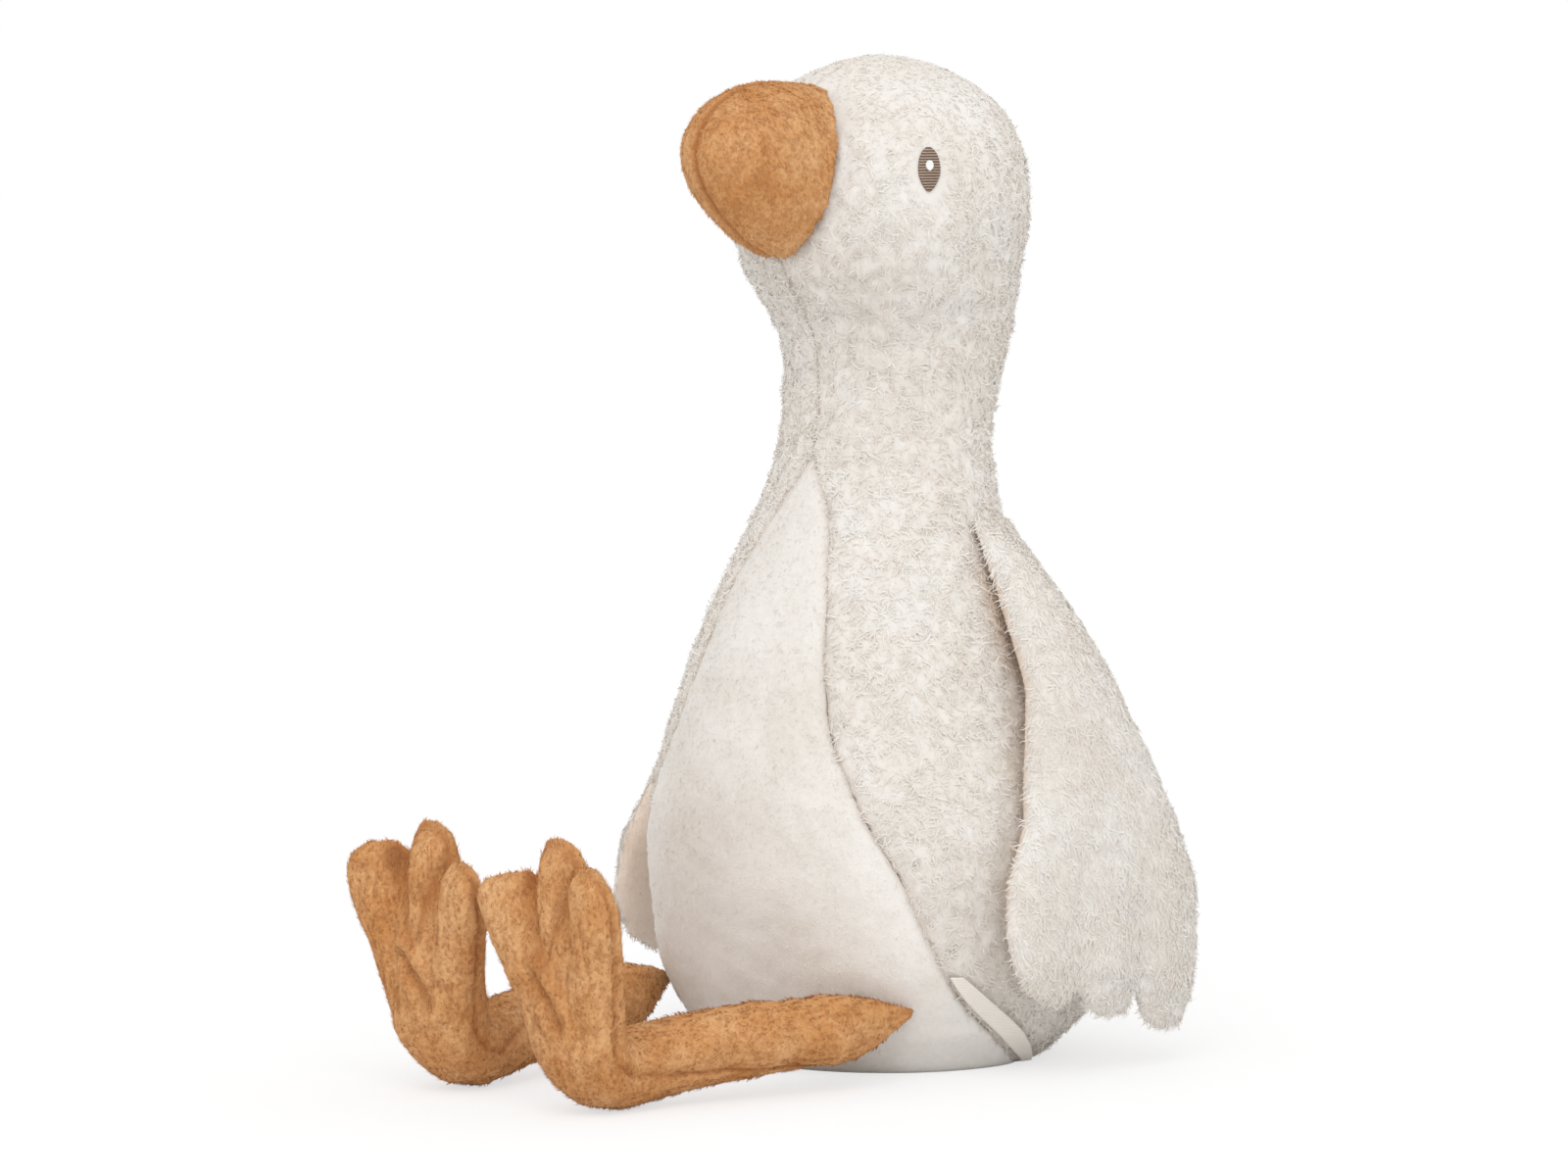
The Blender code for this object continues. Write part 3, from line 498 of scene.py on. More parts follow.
def treeOf(node):
    return BVHTree.FromObject(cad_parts[node], bpy.context.evaluated_depsgraph_get())


def distances(tree, points):
    return np.array([tree.find_nearest(Vector(p))[3] for p in points])


eyeLow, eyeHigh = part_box("left_eye")
eyeMiddle = (eyeLow + eyeHigh) / 2
beakTrees = [treeOf("left_beak_panel"), treeOf("right_beak_panel")]


def nearBeak(points):
    # 1 where the side cloth meets the beak, 0 where the beak's reach ends.
    shares = np.zeros(len(points))
    high = points[:, 2] > 0.7 * crownHeight
    if high.any():
        away = np.minimum(*(distances(tree, points[high]) for tree in beakTrees))
        shares[high] = np.clip(1 - away / (bodyForm["beakReach"] * mm), 0, 1)
    return shares


eyeClear = {"oval": (3.0, 3.4, 6.4), "start": 1.35, "blend": 0.6}   # mm, then shares of the oval


def clearOfEye(points):
    # 0 on the stitched eye, 1 a little beyond it, measured in ovals round its middle.
    aside, along, up = eyeClear["oval"]
    away = np.hypot((np.abs(points[:, 0]) - eyeMiddle.x) / (aside * mm),
                    (points[:, 1] - eyeMiddle.y) / (along * mm))
    far = np.hypot(away, (points[:, 2] - eyeMiddle.z) / (up * mm))
    return np.clip((far - eyeClear["start"]) / eyeClear["blend"], 0, 1)


# Wings, in mm and degrees round the body from its front.
wingForm = {"voxel": 1.6, "smooth": 10, "lumps": 4.5, "lumpDepth": 0.5, "tuckIn": 5.0, "standOut": 9.0,
            "front": 112.0, "frontBlend": 30.0, "lowPart": 80.0, "edge": 0.4,
            "shade": 12.0, "shadeGain": 1.3, "shadeMost": 0.6}
wingTrees = [treeOf("left_wing_lining"), treeOf("right_wing_lining")]
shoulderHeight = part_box("left_wing_lining")[1].z


def underWing(points):
    # Painted shade under the wings on the side cloth: most where a wing lies near it, fading out below the
    # shoulder and away from the wing. The same share also lengthens the side pile there.
    low = points[:, 2] < 0.7 * crownHeight
    shares = np.zeros(len(points))
    away = np.minimum(*(distances(tree, points[low]) for tree in wingTrees))
    shares[low] = wingForm["shadeGain"] * np.clip(1 - away / (wingForm["shade"] * mm), 0, 1) ** 2
    belowShoulder = np.clip((shoulderHeight - 5 * mm - points[:, 2]) / (20 * mm), 0, 1)
    return np.clip(shares, 0, wingForm["shadeMost"]) * belowShoulder


sidePile = {"length": 4.8, "width": 0.42, "curl": 230, "rises": (0.6, 0.15, -0.35), "count": 33000,
            "stray": 1.0, "tufts": (3.4, 3.6), "tuftDepth": 0.3, "tuftShade": 0.14,
            "lumps": ((3.6, 1.0), (1.6, 0.5)),   # size and depth
            "crownStart": 0.84, "atEye": 0.25, "beakTrim": 0.7, "wingGain": 0.8}


def curlyLength(points):
    # Full curls on the neck and the body, close and smoother over the crown and round the eye.
    height = points[:, 2] / crownHeight
    crown = np.clip(1.15 - np.maximum(0, height - sidePile["crownStart"]) * 4.0, 0.45, 1.0)
    base = np.clip(points[:, 2] / (3 * mm), 0.5, 1.0)
    clear = clearOfEye(points)
    byEye = (sidePile["atEye"] + (1 - sidePile["atEye"]) * clear) * (clear > 0.02)
    return crown * base * byEye * (1 - sidePile["beakTrim"] * nearBeak(points)) \
        * (1 + sidePile["wingGain"] * underWing(points))


for number, (label, side) in enumerate((("left", 1), ("right", -1))):
    cover = bodyCover(label + "SideCover", side, curlyPile)
    mesh = cover.data
    points, normals = coordinates(mesh), vertexNormals(mesh)
    crownEase = np.clip(1.2 - np.maximum(0, points[:, 2] / crownHeight - sidePile["crownStart"]) * 5, 0.3, 1)
    eased = normals * (crownEase * (0.3 + 0.7 * clearOfEye(points)))[:, None]
    for turn, (size, depth) in enumerate(sidePile["lumps"]):
        points = roughen(points, eased, size * mm, depth * mm, number + 1 + 2 * turn)
    offSeam = np.clip(np.abs(points[:, 0]) / (8 * mm), 0, 1)
    points = points - normals * (nearBeak(points) * offSeam * bodyForm["beakDip"] * mm)[:, None]
    points[:, 2] = np.maximum(points[:, 2], 0)
    setCoordinates(mesh, points)
    # The painted shade under the wings joins the seams' painted shade.
    seams = np.empty(len(points), dtype=np.float32)
    mesh.attributes["seam"].data.foreach_get("value", seams)
    mesh.attributes["seam"].data.foreach_set("value", np.maximum(seams, underWing(points)).astype(np.float32))
    register(cover, [label + "_side_panel"] + (["body_filling"] if side == 1 else []))
    growPile(label + "SidePile", cover, curlyPile, {**sidePile, "seed": 11 + number},
             curlyLength, shadeAt=underWing)
    print("side cover and pile:", label)

bellyPile = {"length": 1.6, "width": 0.3, "curl": 60, "rises": (0.75, 0.3), "count": 17000, "stray": 0.5,
             "tufts": (1.5, 3.5), "tuftDepth": 0.5, "tuftShade": 0.25, "seed": 21,
             "lumps": ((26.0, 0.9, 7), (4.0, 0.5, 8))}   # size, depth and seed
belly = bodyCover("bellyCover", 0, smoothPlush)
points, normals = coordinates(belly.data), vertexNormals(belly.data)
standing = normals * (points[:, 2] > 0.5 * mm)[:, None]   # the base stays flat
for size, depth, seed in bellyPile["lumps"]:
    points = roughen(points, standing, size * mm, depth * mm, seed)
setCoordinates(belly.data, points)
register(belly, ["belly_panel"])


def downhill(points):
    return np.tile(np.array([0.0, 0.0, -1.0]), (len(points), 1))


def offTheFloor(points):
    return np.clip((points[:, 2] - 0.5 * mm) / (4 * mm), 0, 1)


growPile("bellyPile", belly, smoothPlush, bellyPile, offTheFloor, downhill)
print("belly cover and pile")


# Stuffed limbs and beak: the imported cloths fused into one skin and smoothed.
def fusedSkin(name, cloths, filling, form, swell):
    # The filling swells by some mm, to fill the gaps between the cloths.
    joined = bmesh.new()
    for node in cloths + [filling]:
        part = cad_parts[node].data.copy()
        if node == filling:
            puffed = coordinates(part) + vertexNormals(part) * swell * mm
            setCoordinates(part, puffed)
        joined.from_mesh(part)
        bpy.data.meshes.remove(part)
    mesh = bpy.data.meshes.new(name)
    joined.to_mesh(mesh)
    joined.free()
    piece = bpy.data.objects.new(name, mesh)
    bpy.context.scene.collection.objects.link(piece)
    remesh = piece.modifiers.new("fuse", "REMESH")
    remesh.mode = "VOXEL"
    remesh.voxel_size = form["voxel"] * mm
    soften = piece.modifiers.new("soften", "SMOOTH")
    soften.factor = 0.5
    soften.iterations = form["smooth"]
    evaluated = piece.evaluated_get(bpy.context.evaluated_depsgraph_get())
    skin = bpy.data.meshes.new_from_object(evaluated)
    piece.modifiers.clear()
    piece.data = skin
    keepOuterSkin(skin)
    skin.materials.clear()
    skin.shade_smooth()
    return piece


def keepOuterSkin(mesh):
    # Leaves the largest connected skin; the others are the insides of the hollow.
    builder = bmesh.new()
    builder.from_mesh(mesh)
    unseen, islands = set(builder.verts), []
    while unseen:
        start = unseen.pop()
        island, waiting = [start], [start]
        while waiting:
            for edge in waiting.pop().link_edges:
                for vert in edge.verts:
                    if vert in unseen:
                        unseen.discard(vert)
                        island.append(vert)
                        waiting.append(vert)
        islands.append(island)
    islands.sort(key=lambda group: -(max(v.co.z for v in group) - min(v.co.z for v in group)) * len(group))
    lost = [vert for island in islands[1:] for vert in island]
    bmesh.ops.delete(builder, geom=lost, context="VERTS")
    builder.to_mesh(mesh)
    builder.free()


def splitByCloth(piece, firstNode, secondNode):
    # Difference of the distances to two cloths: negative on the first, positive on the second.
    points = coordinates(piece.data)
    return distances(treeOf(firstNode), points) - distances(treeOf(secondNode), points)


def cutOut(piece, belongs, name):
    # A copy of a piece that keeps the faces whose corners' measures sum to less than nothing.
    copy = piece.copy()
    copy.data = piece.data.copy()
    copy.name = copy.data.name = name
    bpy.context.scene.collection.objects.link(copy)
    builder = bmesh.new()
    builder.from_mesh(copy.data)
    builder.verts.ensure_lookup_table()
    lost = [face for face in builder.faces if sum(belongs[v.index] for v in face.verts) >= 0]
    bmesh.ops.delete(builder, geom=lost, context="FACES")
    builder.to_mesh(copy.data)
    builder.free()
    return copy


wingPile = {"length": 3.9, "width": 0.4, "curl": 110, "rises": (0.5, 0.1, -0.2), "count": 16000,
            "stray": 0.7, "tufts": (2.6, 7.0), "tuftDepth": 0.2, "tuftShade": 0.1}
liningPile = {"length": 1.5, "width": 0.3, "curl": 50, "rises": (0.75, 0.3), "count": 5000, "stray": 0.5,
              "tufts": (1.4, 3.0), "tuftDepth": 0.3, "tuftShade": 0.15}


def settleWing(points, side):
    # The left wing's front edge is tucked in toward the body, and the right wing stands out low down.
    wide, deep, lean = bodyAt(points[:, 2])
    angle = np.arctan2(np.abs(points[:, 0]) / wide, (lean - points[:, 1]) / deep)
    outward = unit(np.stack([np.sin(angle) * side, -np.cos(angle), 0 * angle], axis=1))
    front = np.clip((math.radians(wingForm["front"]) - angle) / math.radians(wingForm["frontBlend"]), 0, 1)
    high = np.clip(points[:, 2] / (wingForm["lowPart"] * mm), 0, 1)
    near = wingForm["tuckIn"] * front * np.clip(high, 0.3, 1) \
        * np.clip((shoulderHeight - points[:, 2]) / (25 * mm), 0, 1)
    shift = -near if side == 1 else wingForm["standOut"] * (0.4 + 0.6 * front) * (1 - high)
    return points + outward * (shift * mm)[:, None]


for number, label in enumerate(("left", "right")):
    nodes = [label + "_wing_outer_panel", label + "_wing_lining"]
    skin = fusedSkin(label + "Wing", nodes, label + "_wing_filling", wingForm, 0.8)
    belongs = splitByCloth(skin, *nodes)
    points, normals = coordinates(skin.data), vertexNormals(skin.data)
    curly = normals * np.clip(-belongs / (1 * mm), 0, 1)[:, None]
    points = roughen(points, curly, wingForm["lumps"] * mm, wingForm["lumpDepth"] * mm, number + 40)
    points = settleWing(points, 1 if label == "left" else -1)
    setCoordinates(skin.data, points)
    setPaintedShade(skin.data, np.zeros(len(points)))
    edge = wingForm["edge"] * mm   # the outer cloth turns over the rim by this much
    outerCover = cutOut(skin, belongs - edge, label + "WingCover")
    lining = cutOut(skin, edge - belongs, label + "WingLining")
    outerCover.data.materials.append(curlyPile)
    lining.data.materials.append(peachLining)
    bpy.data.objects.remove(skin)
    register(outerCover, [nodes[0], label + "_wing_filling"])
    register(lining, [nodes[1]])
    growPile(label + "WingPile", outerCover, curlyPile,
             {**wingPile, "seed": 31 + number}, None, downhill)
    growPile(label + "LiningPile", lining, peachLining,
             {**liningPile, "seed": 35 + number}, None, downhill)
    print("wing:", label, len(points), "points")


# Legs and feet, in mm. The web is the V between the side toes, the fold is the pucker under it.
legForm = {"voxel": 1.3, "smooth": 8, "seamDip": 0.9, "seamReach": 1.5, "seamShade": 0.6,
           "lumps": ((9.0, 0.5, 50), (1.8, 0.3, 60)),   # size, depth and seed
           "middle": 28.5, "webTop": 66.0, "webBottom": 42.0, "webHalfWidth": 10.0, "webDip": 2.6,
           "webReach": 1.7, "setBack": 2.6, "puff": 1.0, "creaseShade": 0.7,
           "fold": ((-4.0, 40.0), (1.5, 34.0), (5.0, 26.0)), "foldDip": 2.2, "foldReach": 1.8,
           "endReach": 24.0, "endTop": 21.5, "endTaper": 0.75}
legPile = {"length": 2.3, "width": 0.32, "curl": 40, "rises": (0.7, 0.25), "count": 26000, "stray": 0.22,
           "tufts": (1.3, 6.5), "tuftDepth": 0.8, "tuftShade": 1.0}


def combAlongLeg(points):
    # Toward the toes: forward along the leg, up on the foot.
    upright = np.clip((-points[:, 1] - 125 * mm) / (20 * mm), 0, 1)
    return np.stack([0 * upright, -(1 - upright), upright], axis=1)


def sculptSole(points, normals, side):
    # The side toes close in a V over the middle toe, and a pucker runs on below the V.
    form = legForm
    x = (points[:, 0] * side - form["middle"] * mm) / mm * side
    z = points[:, 2] / mm
    onSole = np.clip((-normals[:, 1] - 0.1) / 0.4, 0, 1) * (points[:, 1] < -140 * mm)
    climb = np.clip((z - form["webBottom"]) / (form["webTop"] - form["webBottom"]), 0, 1.3)
    half = form["webHalfWidth"] * climb ** 0.8
    fromWeb = np.abs(np.abs(x) - half) * 0.9
    above = 1 / (1 + np.exp(-(z - form["webBottom"]) / 1.2))
    inside = np.clip((half - np.abs(x)) / 2.5, 0, 1) * above
    dip = form["webDip"] * np.exp(-(fromWeb / form["webReach"]) ** 2) * above
    puff = form["puff"] * np.exp(-((fromWeb - 4.5) / 2.5) ** 2) * above * (np.abs(x) > half)
    away = np.full(len(points), 99.0)
    for (x0, z0), (x1, z1) in zip(form["fold"], form["fold"][1:]):
        across, down = x1 - x0, z1 - z0
        t = np.clip(((x - x0) * across + (z - z0) * down) / (across ** 2 + down ** 2), 0, 1)
        away = np.minimum(away, np.hypot(x - x0 - t * across, z - z0 - t * down))
    dip = dip + form["foldDip"] * np.exp(-(away / form["foldReach"]) ** 2)
    puff = puff + form["puff"] * np.exp(-((away - 4.0) / 1.8) ** 2)
    out = (puff - dip - form["setBack"] * inside) * onSole
    return points + normals * (out * mm)[:, None], np.clip(dip / 3 * onSole, 0, 1)


for number, label in enumerate(("left", "right")):
    cloths = [label + "_leg_upper_panel", label + "_leg_sole_panel"]
    leg = fusedSkin(label + "Leg", cloths, label + "_leg_filling", legForm, 1.0)
    belongs = splitByCloth(leg, *cloths)
    seamShare = np.exp(-(belongs / (legForm["seamReach"] * mm)) ** 2)
    points, normals = coordinates(leg.data), vertexNormals(leg.data)
    points = points - normals * (seamShare * legForm["seamDip"] * mm)[:, None]
    points, creases = sculptSole(points, normals, 1 if label == "left" else -1)
    endShare = np.clip((points[:, 1] - points[:, 1].max()) / (legForm["endReach"] * mm) + 1, 0, 1)
    endTop = legForm["endTop"] * mm   # the inner end tapers to this height beside the body
    points[:, 2] = endTop + (points[:, 2] - endTop) * (1 - legForm["endTaper"] * endShare ** 2)
    for size, depth, seed in legForm["lumps"]:
        points = roughen(points, normals, size * mm, depth * mm, number + seed)
    points[:, 2] = np.maximum(points[:, 2], hair["floorGap"] * mm)
    setCoordinates(leg.data, points)
    # Painted shade in the seam's groove and in the creases of the sole.
    setPaintedShade(leg.data, np.maximum(seamShare * legForm["seamShade"], creases * legForm["creaseShade"]))
    leg.data.materials.append(ochreVelour)
    register(leg, cloths + [label + "_leg_filling"])
    growPile(label + "LegPile", leg, ochreVelour, {**legPile, "seed": 51 + number}, None,
             combAlongLeg)
    print("leg:", label, len(points), "points")


beakForm = {"voxel": 1.0, "smooth": 8, "seamDip": 1.1, "seamReach": 1.3, "seamShade": 0.9, "lumps": 1.6,
            "lumpDepth": 0.25, "sag": 5.5, "sagAtHead": 0.25}
beakPile = {"length": 2.0, "width": 0.3, "curl": 50, "rises": (0.7, 0.25), "count": 19000, "stray": 0.4,
            "tufts": (1.4, 3.0), "tuftDepth": 0.65, "tuftShade": 0.6, "seed": 61}
beakCloths = ["left_beak_panel", "right_beak_panel"]
beak = fusedSkin("beak", beakCloths, "beak_filling", beakForm, 1.0)
points, normals = coordinates(beak.data), vertexNormals(beak.data)
seamShare = np.exp(-(points[:, 0] / (beakForm["seamReach"] * mm)) ** 2)
points = points - normals * (seamShare * beakForm["seamDip"] * mm)[:, None]
points = roughen(points, normals, beakForm["lumps"] * mm, beakForm["lumpDepth"] * mm, 70)
lowest, highest = points[:, 2].min(), points[:, 2].max()
below = np.clip(((lowest + highest) / 2 - points[:, 2]) / ((highest - lowest) / 2), 0, 1)
reach = (points[:, 1].max() - points[:, 1]) / (points[:, 1].max() - points[:, 1].min())
# The lower edge sags most half way out, a little at the head and not at the tip.
sag = beakForm["sagAtHead"] + (1 - beakForm["sagAtHead"]) * np.sin(math.pi * np.clip(reach * 1.1, 0, 1))
points[:, 2] -= beakForm["sag"] * mm * below * sag * (1 - reach) ** 0.3
setCoordinates(beak.data, points)
# Painted shade along the beak's seam groove.
setPaintedShade(beak.data, seamShare * beakForm["seamShade"])
beak.data.materials.append(ochreVelour)
register(beak, beakCloths + ["beak_filling"])


def combDown(points):
    return np.tile(np.array([0.0, 0.35, -1.0]), (len(points), 1))


def shortInSeam(points):
    return 0.35 + 0.65 * np.clip(np.abs(points[:, 0]) / (2 * mm), 0, 1)


growPile("beakPile", beak, ochreVelour, beakPile, shortInSeam, combDown)
print("beak:", len(points), "points")


# Satin-stitched eyes, in mm: half width, half height and lift of each oval, and the rows of its stitches.
eyeStitch = {"eye": (3.4, 6.5, 0.2), "glint": (1.2, 1.6, 0.75), "glintUp": 1.2,
             "rows": 0.8, "ridge": 0.26, "dome": 0.7, "border": 0.22, "edgeRise": 0.12, "edgeStitches": 16,
             "upright": 0.13, "narrow": 0.35, "rings": 30, "turns": 120,
             # Each thread's colour, then its painted highlight and its painted shade between rows.
             "brown": ("#6A5447", "#AE9580", "#33251F"), "white": ("#EDEBEA", "#FFFFFF", "#C9C4C0"),
             "whiteRows": 0.5, "fibre": 0.35}
waveUnit = 0.314   # Scale of a wave texture whose bands are one unit apart


def threadMaterial(name, colour, light, dark, spacing):
    # Rayon embroidery thread: soft gloss, with a painted highlight on each thread's back and painted shade
    # between threads.
    # Rows are drawn as coarse as they need to show, spacing mm apart.
    material = bpy.data.materials.new(name)
    material.use_nodes = True
    shader = material.node_tree.nodes["Principled BSDF"]
    place = addNode(material, "ShaderNodeTexCoord").outputs["Object"]
    rows = addNode(material, "ShaderNodeTexWave",
                   {"wave_type": "BANDS", "bands_direction": "Z", "Scale": waveUnit / (spacing * mm),
                    "Distortion": 0.8, "Detail": 1.0, "Detail Scale": 2.0}, {"Vector": place})
    fibres = addNode(material, "ShaderNodeTexNoise", {"Scale": 1 / (eyeStitch["fibre"] * mm), "Detail": 2.0},
                     {"Vector": place})
    both = addNode(material, "ShaderNodeMath", {"operation": "MULTIPLY_ADD", 1: 0.5},
                   {0: fibres.outputs["Fac"], 2: rows.outputs["Fac"]})
    tone = addNode(material, "ShaderNodeMapRange", {1: 0.25, 2: 1.15}, {0: both.outputs[0]})
    tint = ramp(addNode(material, "ShaderNodeValToRGB", {}, {"Fac": tone.outputs[0]}),
                ((0.0, dark), (0.5, colour), (1.0, light)))
    material.node_tree.links.new(tint.outputs["Color"], shader.inputs["Base Color"])
    shader.inputs["Roughness"].default_value = 0.5
    return material


brownThread = threadMaterial("brownSatinThread", *eyeStitch["brown"], eyeStitch["rows"])
whiteThread = threadMaterial("whiteSatinThread", *eyeStitch["white"], eyeStitch["whiteRows"])


def stitchedOval(name, height, angle, oval, side, material, nodes):
    # Stitches in level rows with a raised border round them, domed over the curve of the head.
    halfWide, halfTall, lift = oval
    rings, turns, ridge = eyeStitch["rings"], eyeStitch["turns"], eyeStitch["ridge"]
    points = []
    for r in range(rings + 1):
        share = r / rings
        turn = np.arange(turns) / turns * 2 * math.pi
        up = share * np.cos(turn) * halfTall
        narrowing = 1 - eyeStitch["narrow"] * np.clip(-np.cos(turn), 0, 1) ** 2
        around = share * np.sin(turn) * halfWide * narrowing
        border = np.clip((share - 1 + eyeStitch["border"]) / eyeStitch["border"] * 4, 0, 1)
        inner = ridge * np.abs(np.sin(math.pi * up / eyeStitch["rows"] + 0.4 * np.sin(around * 2)))
        edging = ridge * np.abs(np.sin(turn * eyeStitch["edgeStitches"])) + eyeStitch["edgeRise"]
        out = lift + eyeStitch["dome"] * math.sqrt(max(0.0, 1 - share ** 3)) \
            + inner * (1 - border) + edging * border * (share < 1)
        wide = bodyAt(height + up * mm)[0]
        angles = angle + (around + eyeStitch["upright"] * up) * mm / wide
        ring = bodyPoint(height + up * mm, angles, out * mm)
        ring[:, 0] *= side
        points.append(ring)
    faces = []
    for r in range(rings):
        for k in range(turns):
            nextK = (k + 1) % turns
            face = (r * turns + k, (r + 1) * turns + k, (r + 1) * turns + nextK, r * turns + nextK)
            faces.append(face if side == 1 else face[::-1])
    piece = meshFrom(name, np.concatenate(points), faces, material)
    builder = bmesh.new()
    builder.from_mesh(piece.data)
    bmesh.ops.remove_doubles(builder, verts=builder.verts[:], dist=1e-7)
    bmesh.ops.recalc_face_normals(builder, faces=builder.faces[:])
    builder.to_mesh(piece.data)
    builder.free()
    return register(piece, nodes)


wide, deep, lean = bodyAt(eyeMiddle.z)
eyeAngle = math.atan2(eyeMiddle.x / wide, (lean - eyeMiddle.y) / deep)
for label, side in (("left", 1), ("right", -1)):
    stitchedOval(label + "Eye", eyeMiddle.z, eyeAngle, eyeStitch["eye"], side, brownThread,
                 [label + "_eye"])
    stitchedOval(label + "EyeGlint", eyeMiddle.z + eyeStitch["glintUp"] * mm, eyeAngle, eyeStitch["glint"],
                 side, whiteThread, [label + "_eye_glint"])
print("stitched eyes")


# Woven ribbon caught in the left side seam, near the floor, in mm.
labelForm = {"width": 8.0, "lift": 1.0, "curl": 1.8, "thick": 0.35, "top": 31.0, "bottom": 0.4, "ends": 0.15,
             "rows": 40, "columns": 8, "rib": 0.5, "dark": "#DCD5CB", "light": "#EAE5DD"}


def ribbonMaterial():
    # Woven polyester tape: level ribs, a half matt face.
    material = bpy.data.materials.new("wovenRibbon")
    material.use_nodes = True
    shader = material.node_tree.nodes["Principled BSDF"]
    place = addNode(material, "ShaderNodeTexCoord").outputs["Object"]
    ribs = addNode(material, "ShaderNodeTexWave",
                   {"bands_direction": "Z", "Scale": waveUnit / (labelForm["rib"] * mm), "Distortion": 0.3},
                   {"Vector": place})
    tint = ramp(addNode(material, "ShaderNodeValToRGB", {}, {"Fac": ribs.outputs["Fac"]}),
                ((0.0, labelForm["dark"]), (1.0, labelForm["light"])))
    material.node_tree.links.new(tint.outputs["Color"], shader.inputs["Base Color"])
    bump = addNode(material, "ShaderNodeBump", {"Strength": 0.4, "Distance": 0.1 * mm},
                   {"Height": ribs.outputs["Fac"]})
    material.node_tree.links.new(bump.outputs[0], shader.inputs["Normal"])
    shader.inputs["Roughness"].default_value = 0.6
    return material


def makeLabel():
    # Two layers of a grid, closed round the rim; the free edge curls away from the body.
    rows, columns = labelForm["rows"], labelForm["columns"]
    heights = np.linspace(labelForm["bottom"], labelForm["top"], rows) * mm
    layers = []
    for thick in (labelForm["thick"], 0.0):
        for height in heights:
            share = (height - heights[0]) / (heights[-1] - heights[0])
            across = np.linspace(0, 1, columns)
            bow = math.sin(math.pi * (0.06 + 0.88 * share)) ** 0.6
            width = across * labelForm["width"] * (labelForm["ends"] + (1 - labelForm["ends"]) * bow)
            angles = float(seamAngle(height)) + (0.6 + width) * mm / bodyAt(height)[0]
            curl = labelForm["curl"] * across ** 1.5 * (0.5 + 0.5 * math.sin(share * 3.1))
            layers.append(bodyPoint(height, angles, (labelForm["lift"] + thick + curl) * mm))
    points = np.concatenate(layers)
    count = rows * columns
    faces = gridFaces(rows, columns)
    faces += [tuple(k + count for k in face[::-1]) for face in gridFaces(rows, columns)]
    rim = list(range(columns)) + [r * columns + columns - 1 for r in range(1, rows)]
    rim += [(rows - 1) * columns + c for c in range(columns - 2, -1, -1)]
    rim += [r * columns for r in range(rows - 2, 0, -1)]
    for a, b in zip(rim, rim[1:] + rim[:1]):
        faces.append((b, a, a + count, b + count))
    return register(meshFrom("ribbonLabel", points, faces, ribbonMaterial()), ["seam_label"])


makeLabel()
print("label")

# Camera at the photograph's angle, white floor and backdrop, soft light from above the camera.
studio = {"azimuth": 47.0, "elevation": 5.0, "distance": 2.2, "aim": (-0.0293, -0.0138, 0.1372),
          "lens": 169.29, "sensor": 36.0, "near": 0.05, "far": 50.0,
          "keyFrom": (0.8, -0.75, 1.0), "keySpread": 50.0, "keyStrength": 1.15, "worldStrength": 0.93,
          "floor": "#F4F4F4", "floorHalf": 6.0, "floorGlow": 0.65}


def seenRays(holder):
    # 1 for camera rays and for those that a shiny or clear surface would show, 0 for the light itself.
    path = addNode(holder, "ShaderNodeLightPath")
    shiny = addNode(holder, "ShaderNodeMath", {"operation": "MAXIMUM"},
                    {0: path.outputs["Is Glossy Ray"], 1: path.outputs["Is Transmission Ray"]})
    return addNode(holder, "ShaderNodeMath", {"operation": "MAXIMUM"},
                   {0: path.outputs["Is Camera Ray"], 1: shiny.outputs[0]}).outputs[0]


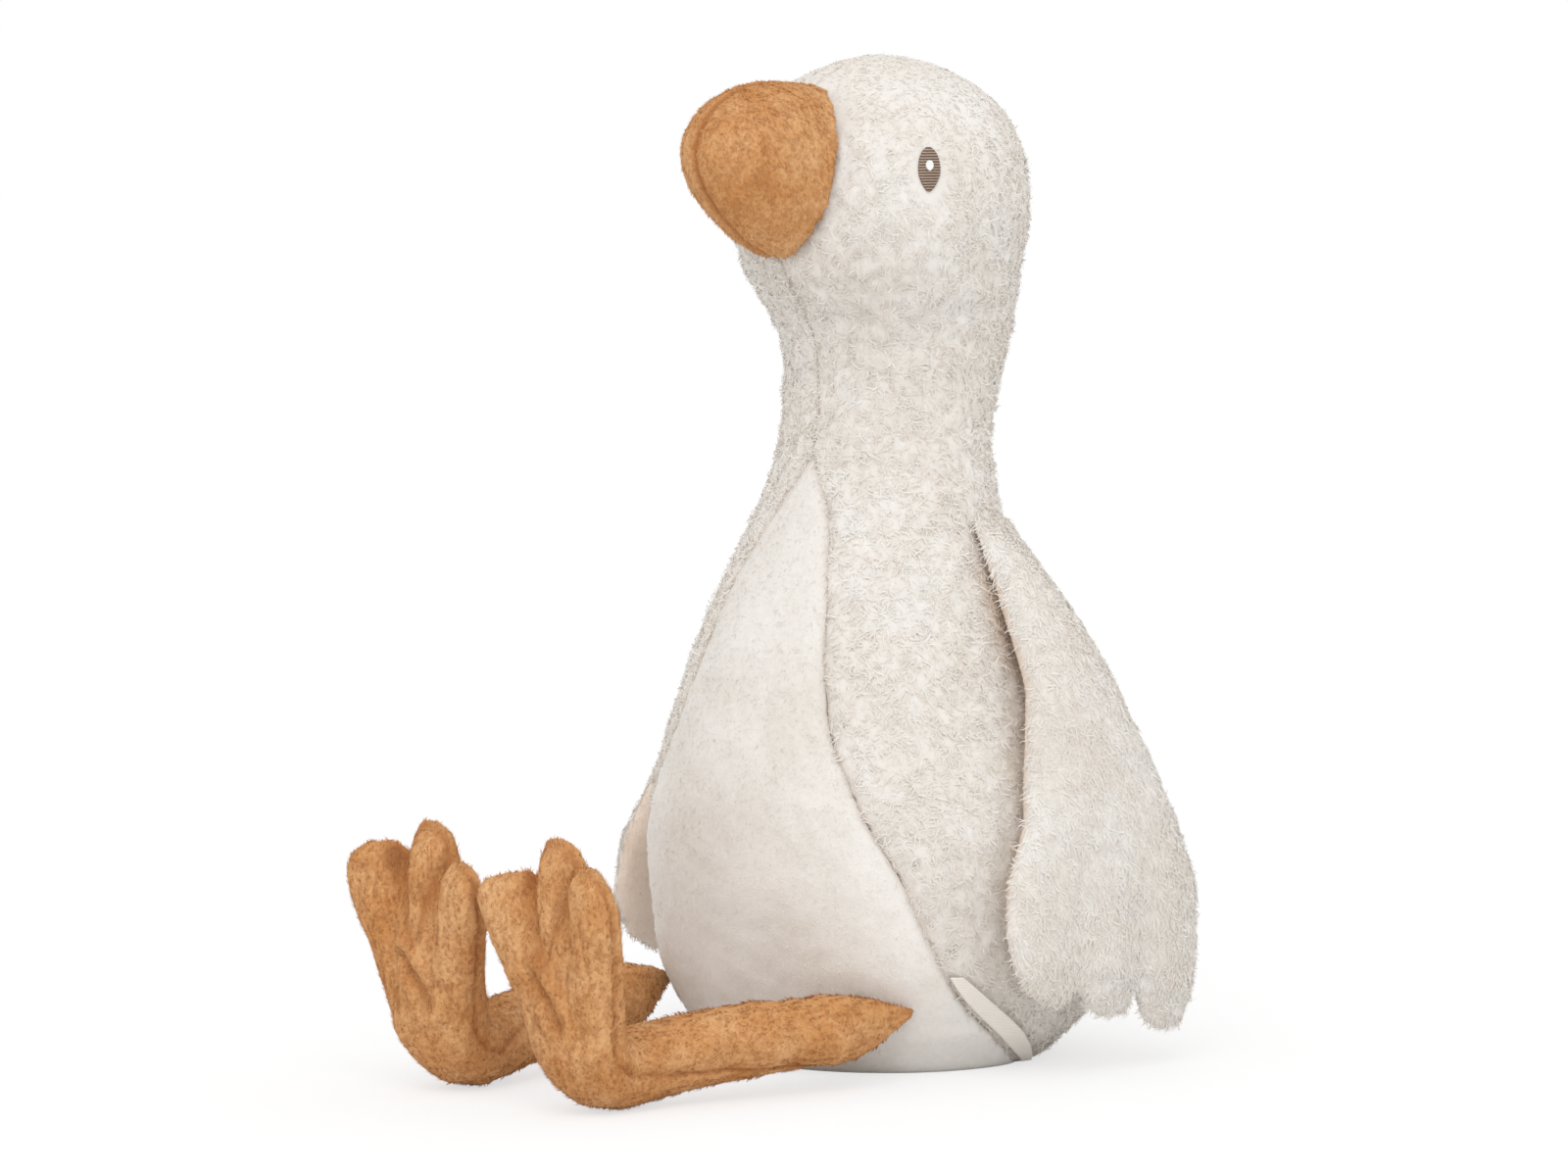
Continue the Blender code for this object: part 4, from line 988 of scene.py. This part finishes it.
def makeStudio():
    scene = bpy.context.scene
    scene.view_settings.view_transform = "Standard"
    azimuth, elevation = math.radians(studio["azimuth"]), math.radians(studio["elevation"])
    back = Vector((math.sin(azimuth) * math.cos(elevation), -math.cos(azimuth) * math.cos(elevation),
                   math.sin(elevation)))
    cameraData = bpy.data.cameras.new("camera")
    cameraData.lens = studio["lens"]
    cameraData.sensor_width = studio["sensor"]
    cameraData.clip_start, cameraData.clip_end = studio["near"], studio["far"]
    camera = bpy.data.objects.new("camera", cameraData)
    camera.location = Vector(studio["aim"]) + back * studio["distance"]
    camera.rotation_mode = "QUATERNION"
    camera.rotation_quaternion = (-back).to_track_quat("-Z", "Y")
    scene.collection.objects.link(camera)
    scene.camera = camera

    key = bpy.data.lights.new("key", "SUN")
    key.energy = studio["keyStrength"]
    key.angle = math.radians(studio["keySpread"])
    keyObject = bpy.data.objects.new("key", key)
    keyObject.rotation_mode = "QUATERNION"
    keyObject.rotation_quaternion = Vector(studio["keyFrom"]).to_track_quat("Z", "Y")
    scene.collection.objects.link(keyObject)

    world = bpy.data.worlds.new("studio")
    scene.world = world
    world.use_nodes = True
    tree = world.node_tree
    soft = tree.nodes["Background"]
    soft.inputs["Color"].default_value = (1, 1, 1, 1)
    soft.inputs["Strength"].default_value = studio["worldStrength"]
    white = addNode(world, "ShaderNodeBackground", {"Strength": 1.0, "Color": (1, 1, 1, 1)})
    mix = addNode(world, "ShaderNodeMixShader", {},
                  {0: seenRays(world), 1: soft.outputs[0], 2: white.outputs[0]})
    tree.links.new(mix.outputs[0], tree.nodes["World Output"].inputs["Surface"])

    floorMaterial = bpy.data.materials.new("paperFloor")
    floorMaterial.use_nodes = True
    paper = floorMaterial.node_tree
    shader = paper.nodes["Principled BSDF"]
    shader.inputs["Base Color"].default_value = hexColour(studio["floor"])
    shader.inputs["Roughness"].default_value = 1.0
    shader.inputs["Specular IOR Level"].default_value = 0.0
    glow = addNode(floorMaterial, "ShaderNodeEmission", {"Strength": 1.0})
    share = addNode(floorMaterial, "ShaderNodeMath", {"operation": "MULTIPLY", 1: studio["floorGlow"]},
                    {0: seenRays(floorMaterial)})
    mix = addNode(floorMaterial, "ShaderNodeMixShader", {},
                  {0: share.outputs[0], 1: shader.outputs[0], 2: glow.outputs[0]})
    paper.links.new(mix.outputs[0], paper.nodes["Material Output"].inputs["Surface"])
    half = studio["floorHalf"]
    corners = [(-half, -half, 0), (half, -half, 0), (half, half, 0), (-half, half, 0)]
    meshFrom("floor", corners, [(0, 1, 2, 3)], floorMaterial, False)


makeStudio()
print("studio")
sizes = {piece.name: sum(len(face.vertices) - 2 for face in piece.data.polygons)
         for piece in bpy.data.objects if piece.type == "MESH" and piece.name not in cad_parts}
print("triangles:", sum(sizes.values()), "most:", max(sizes.values()))
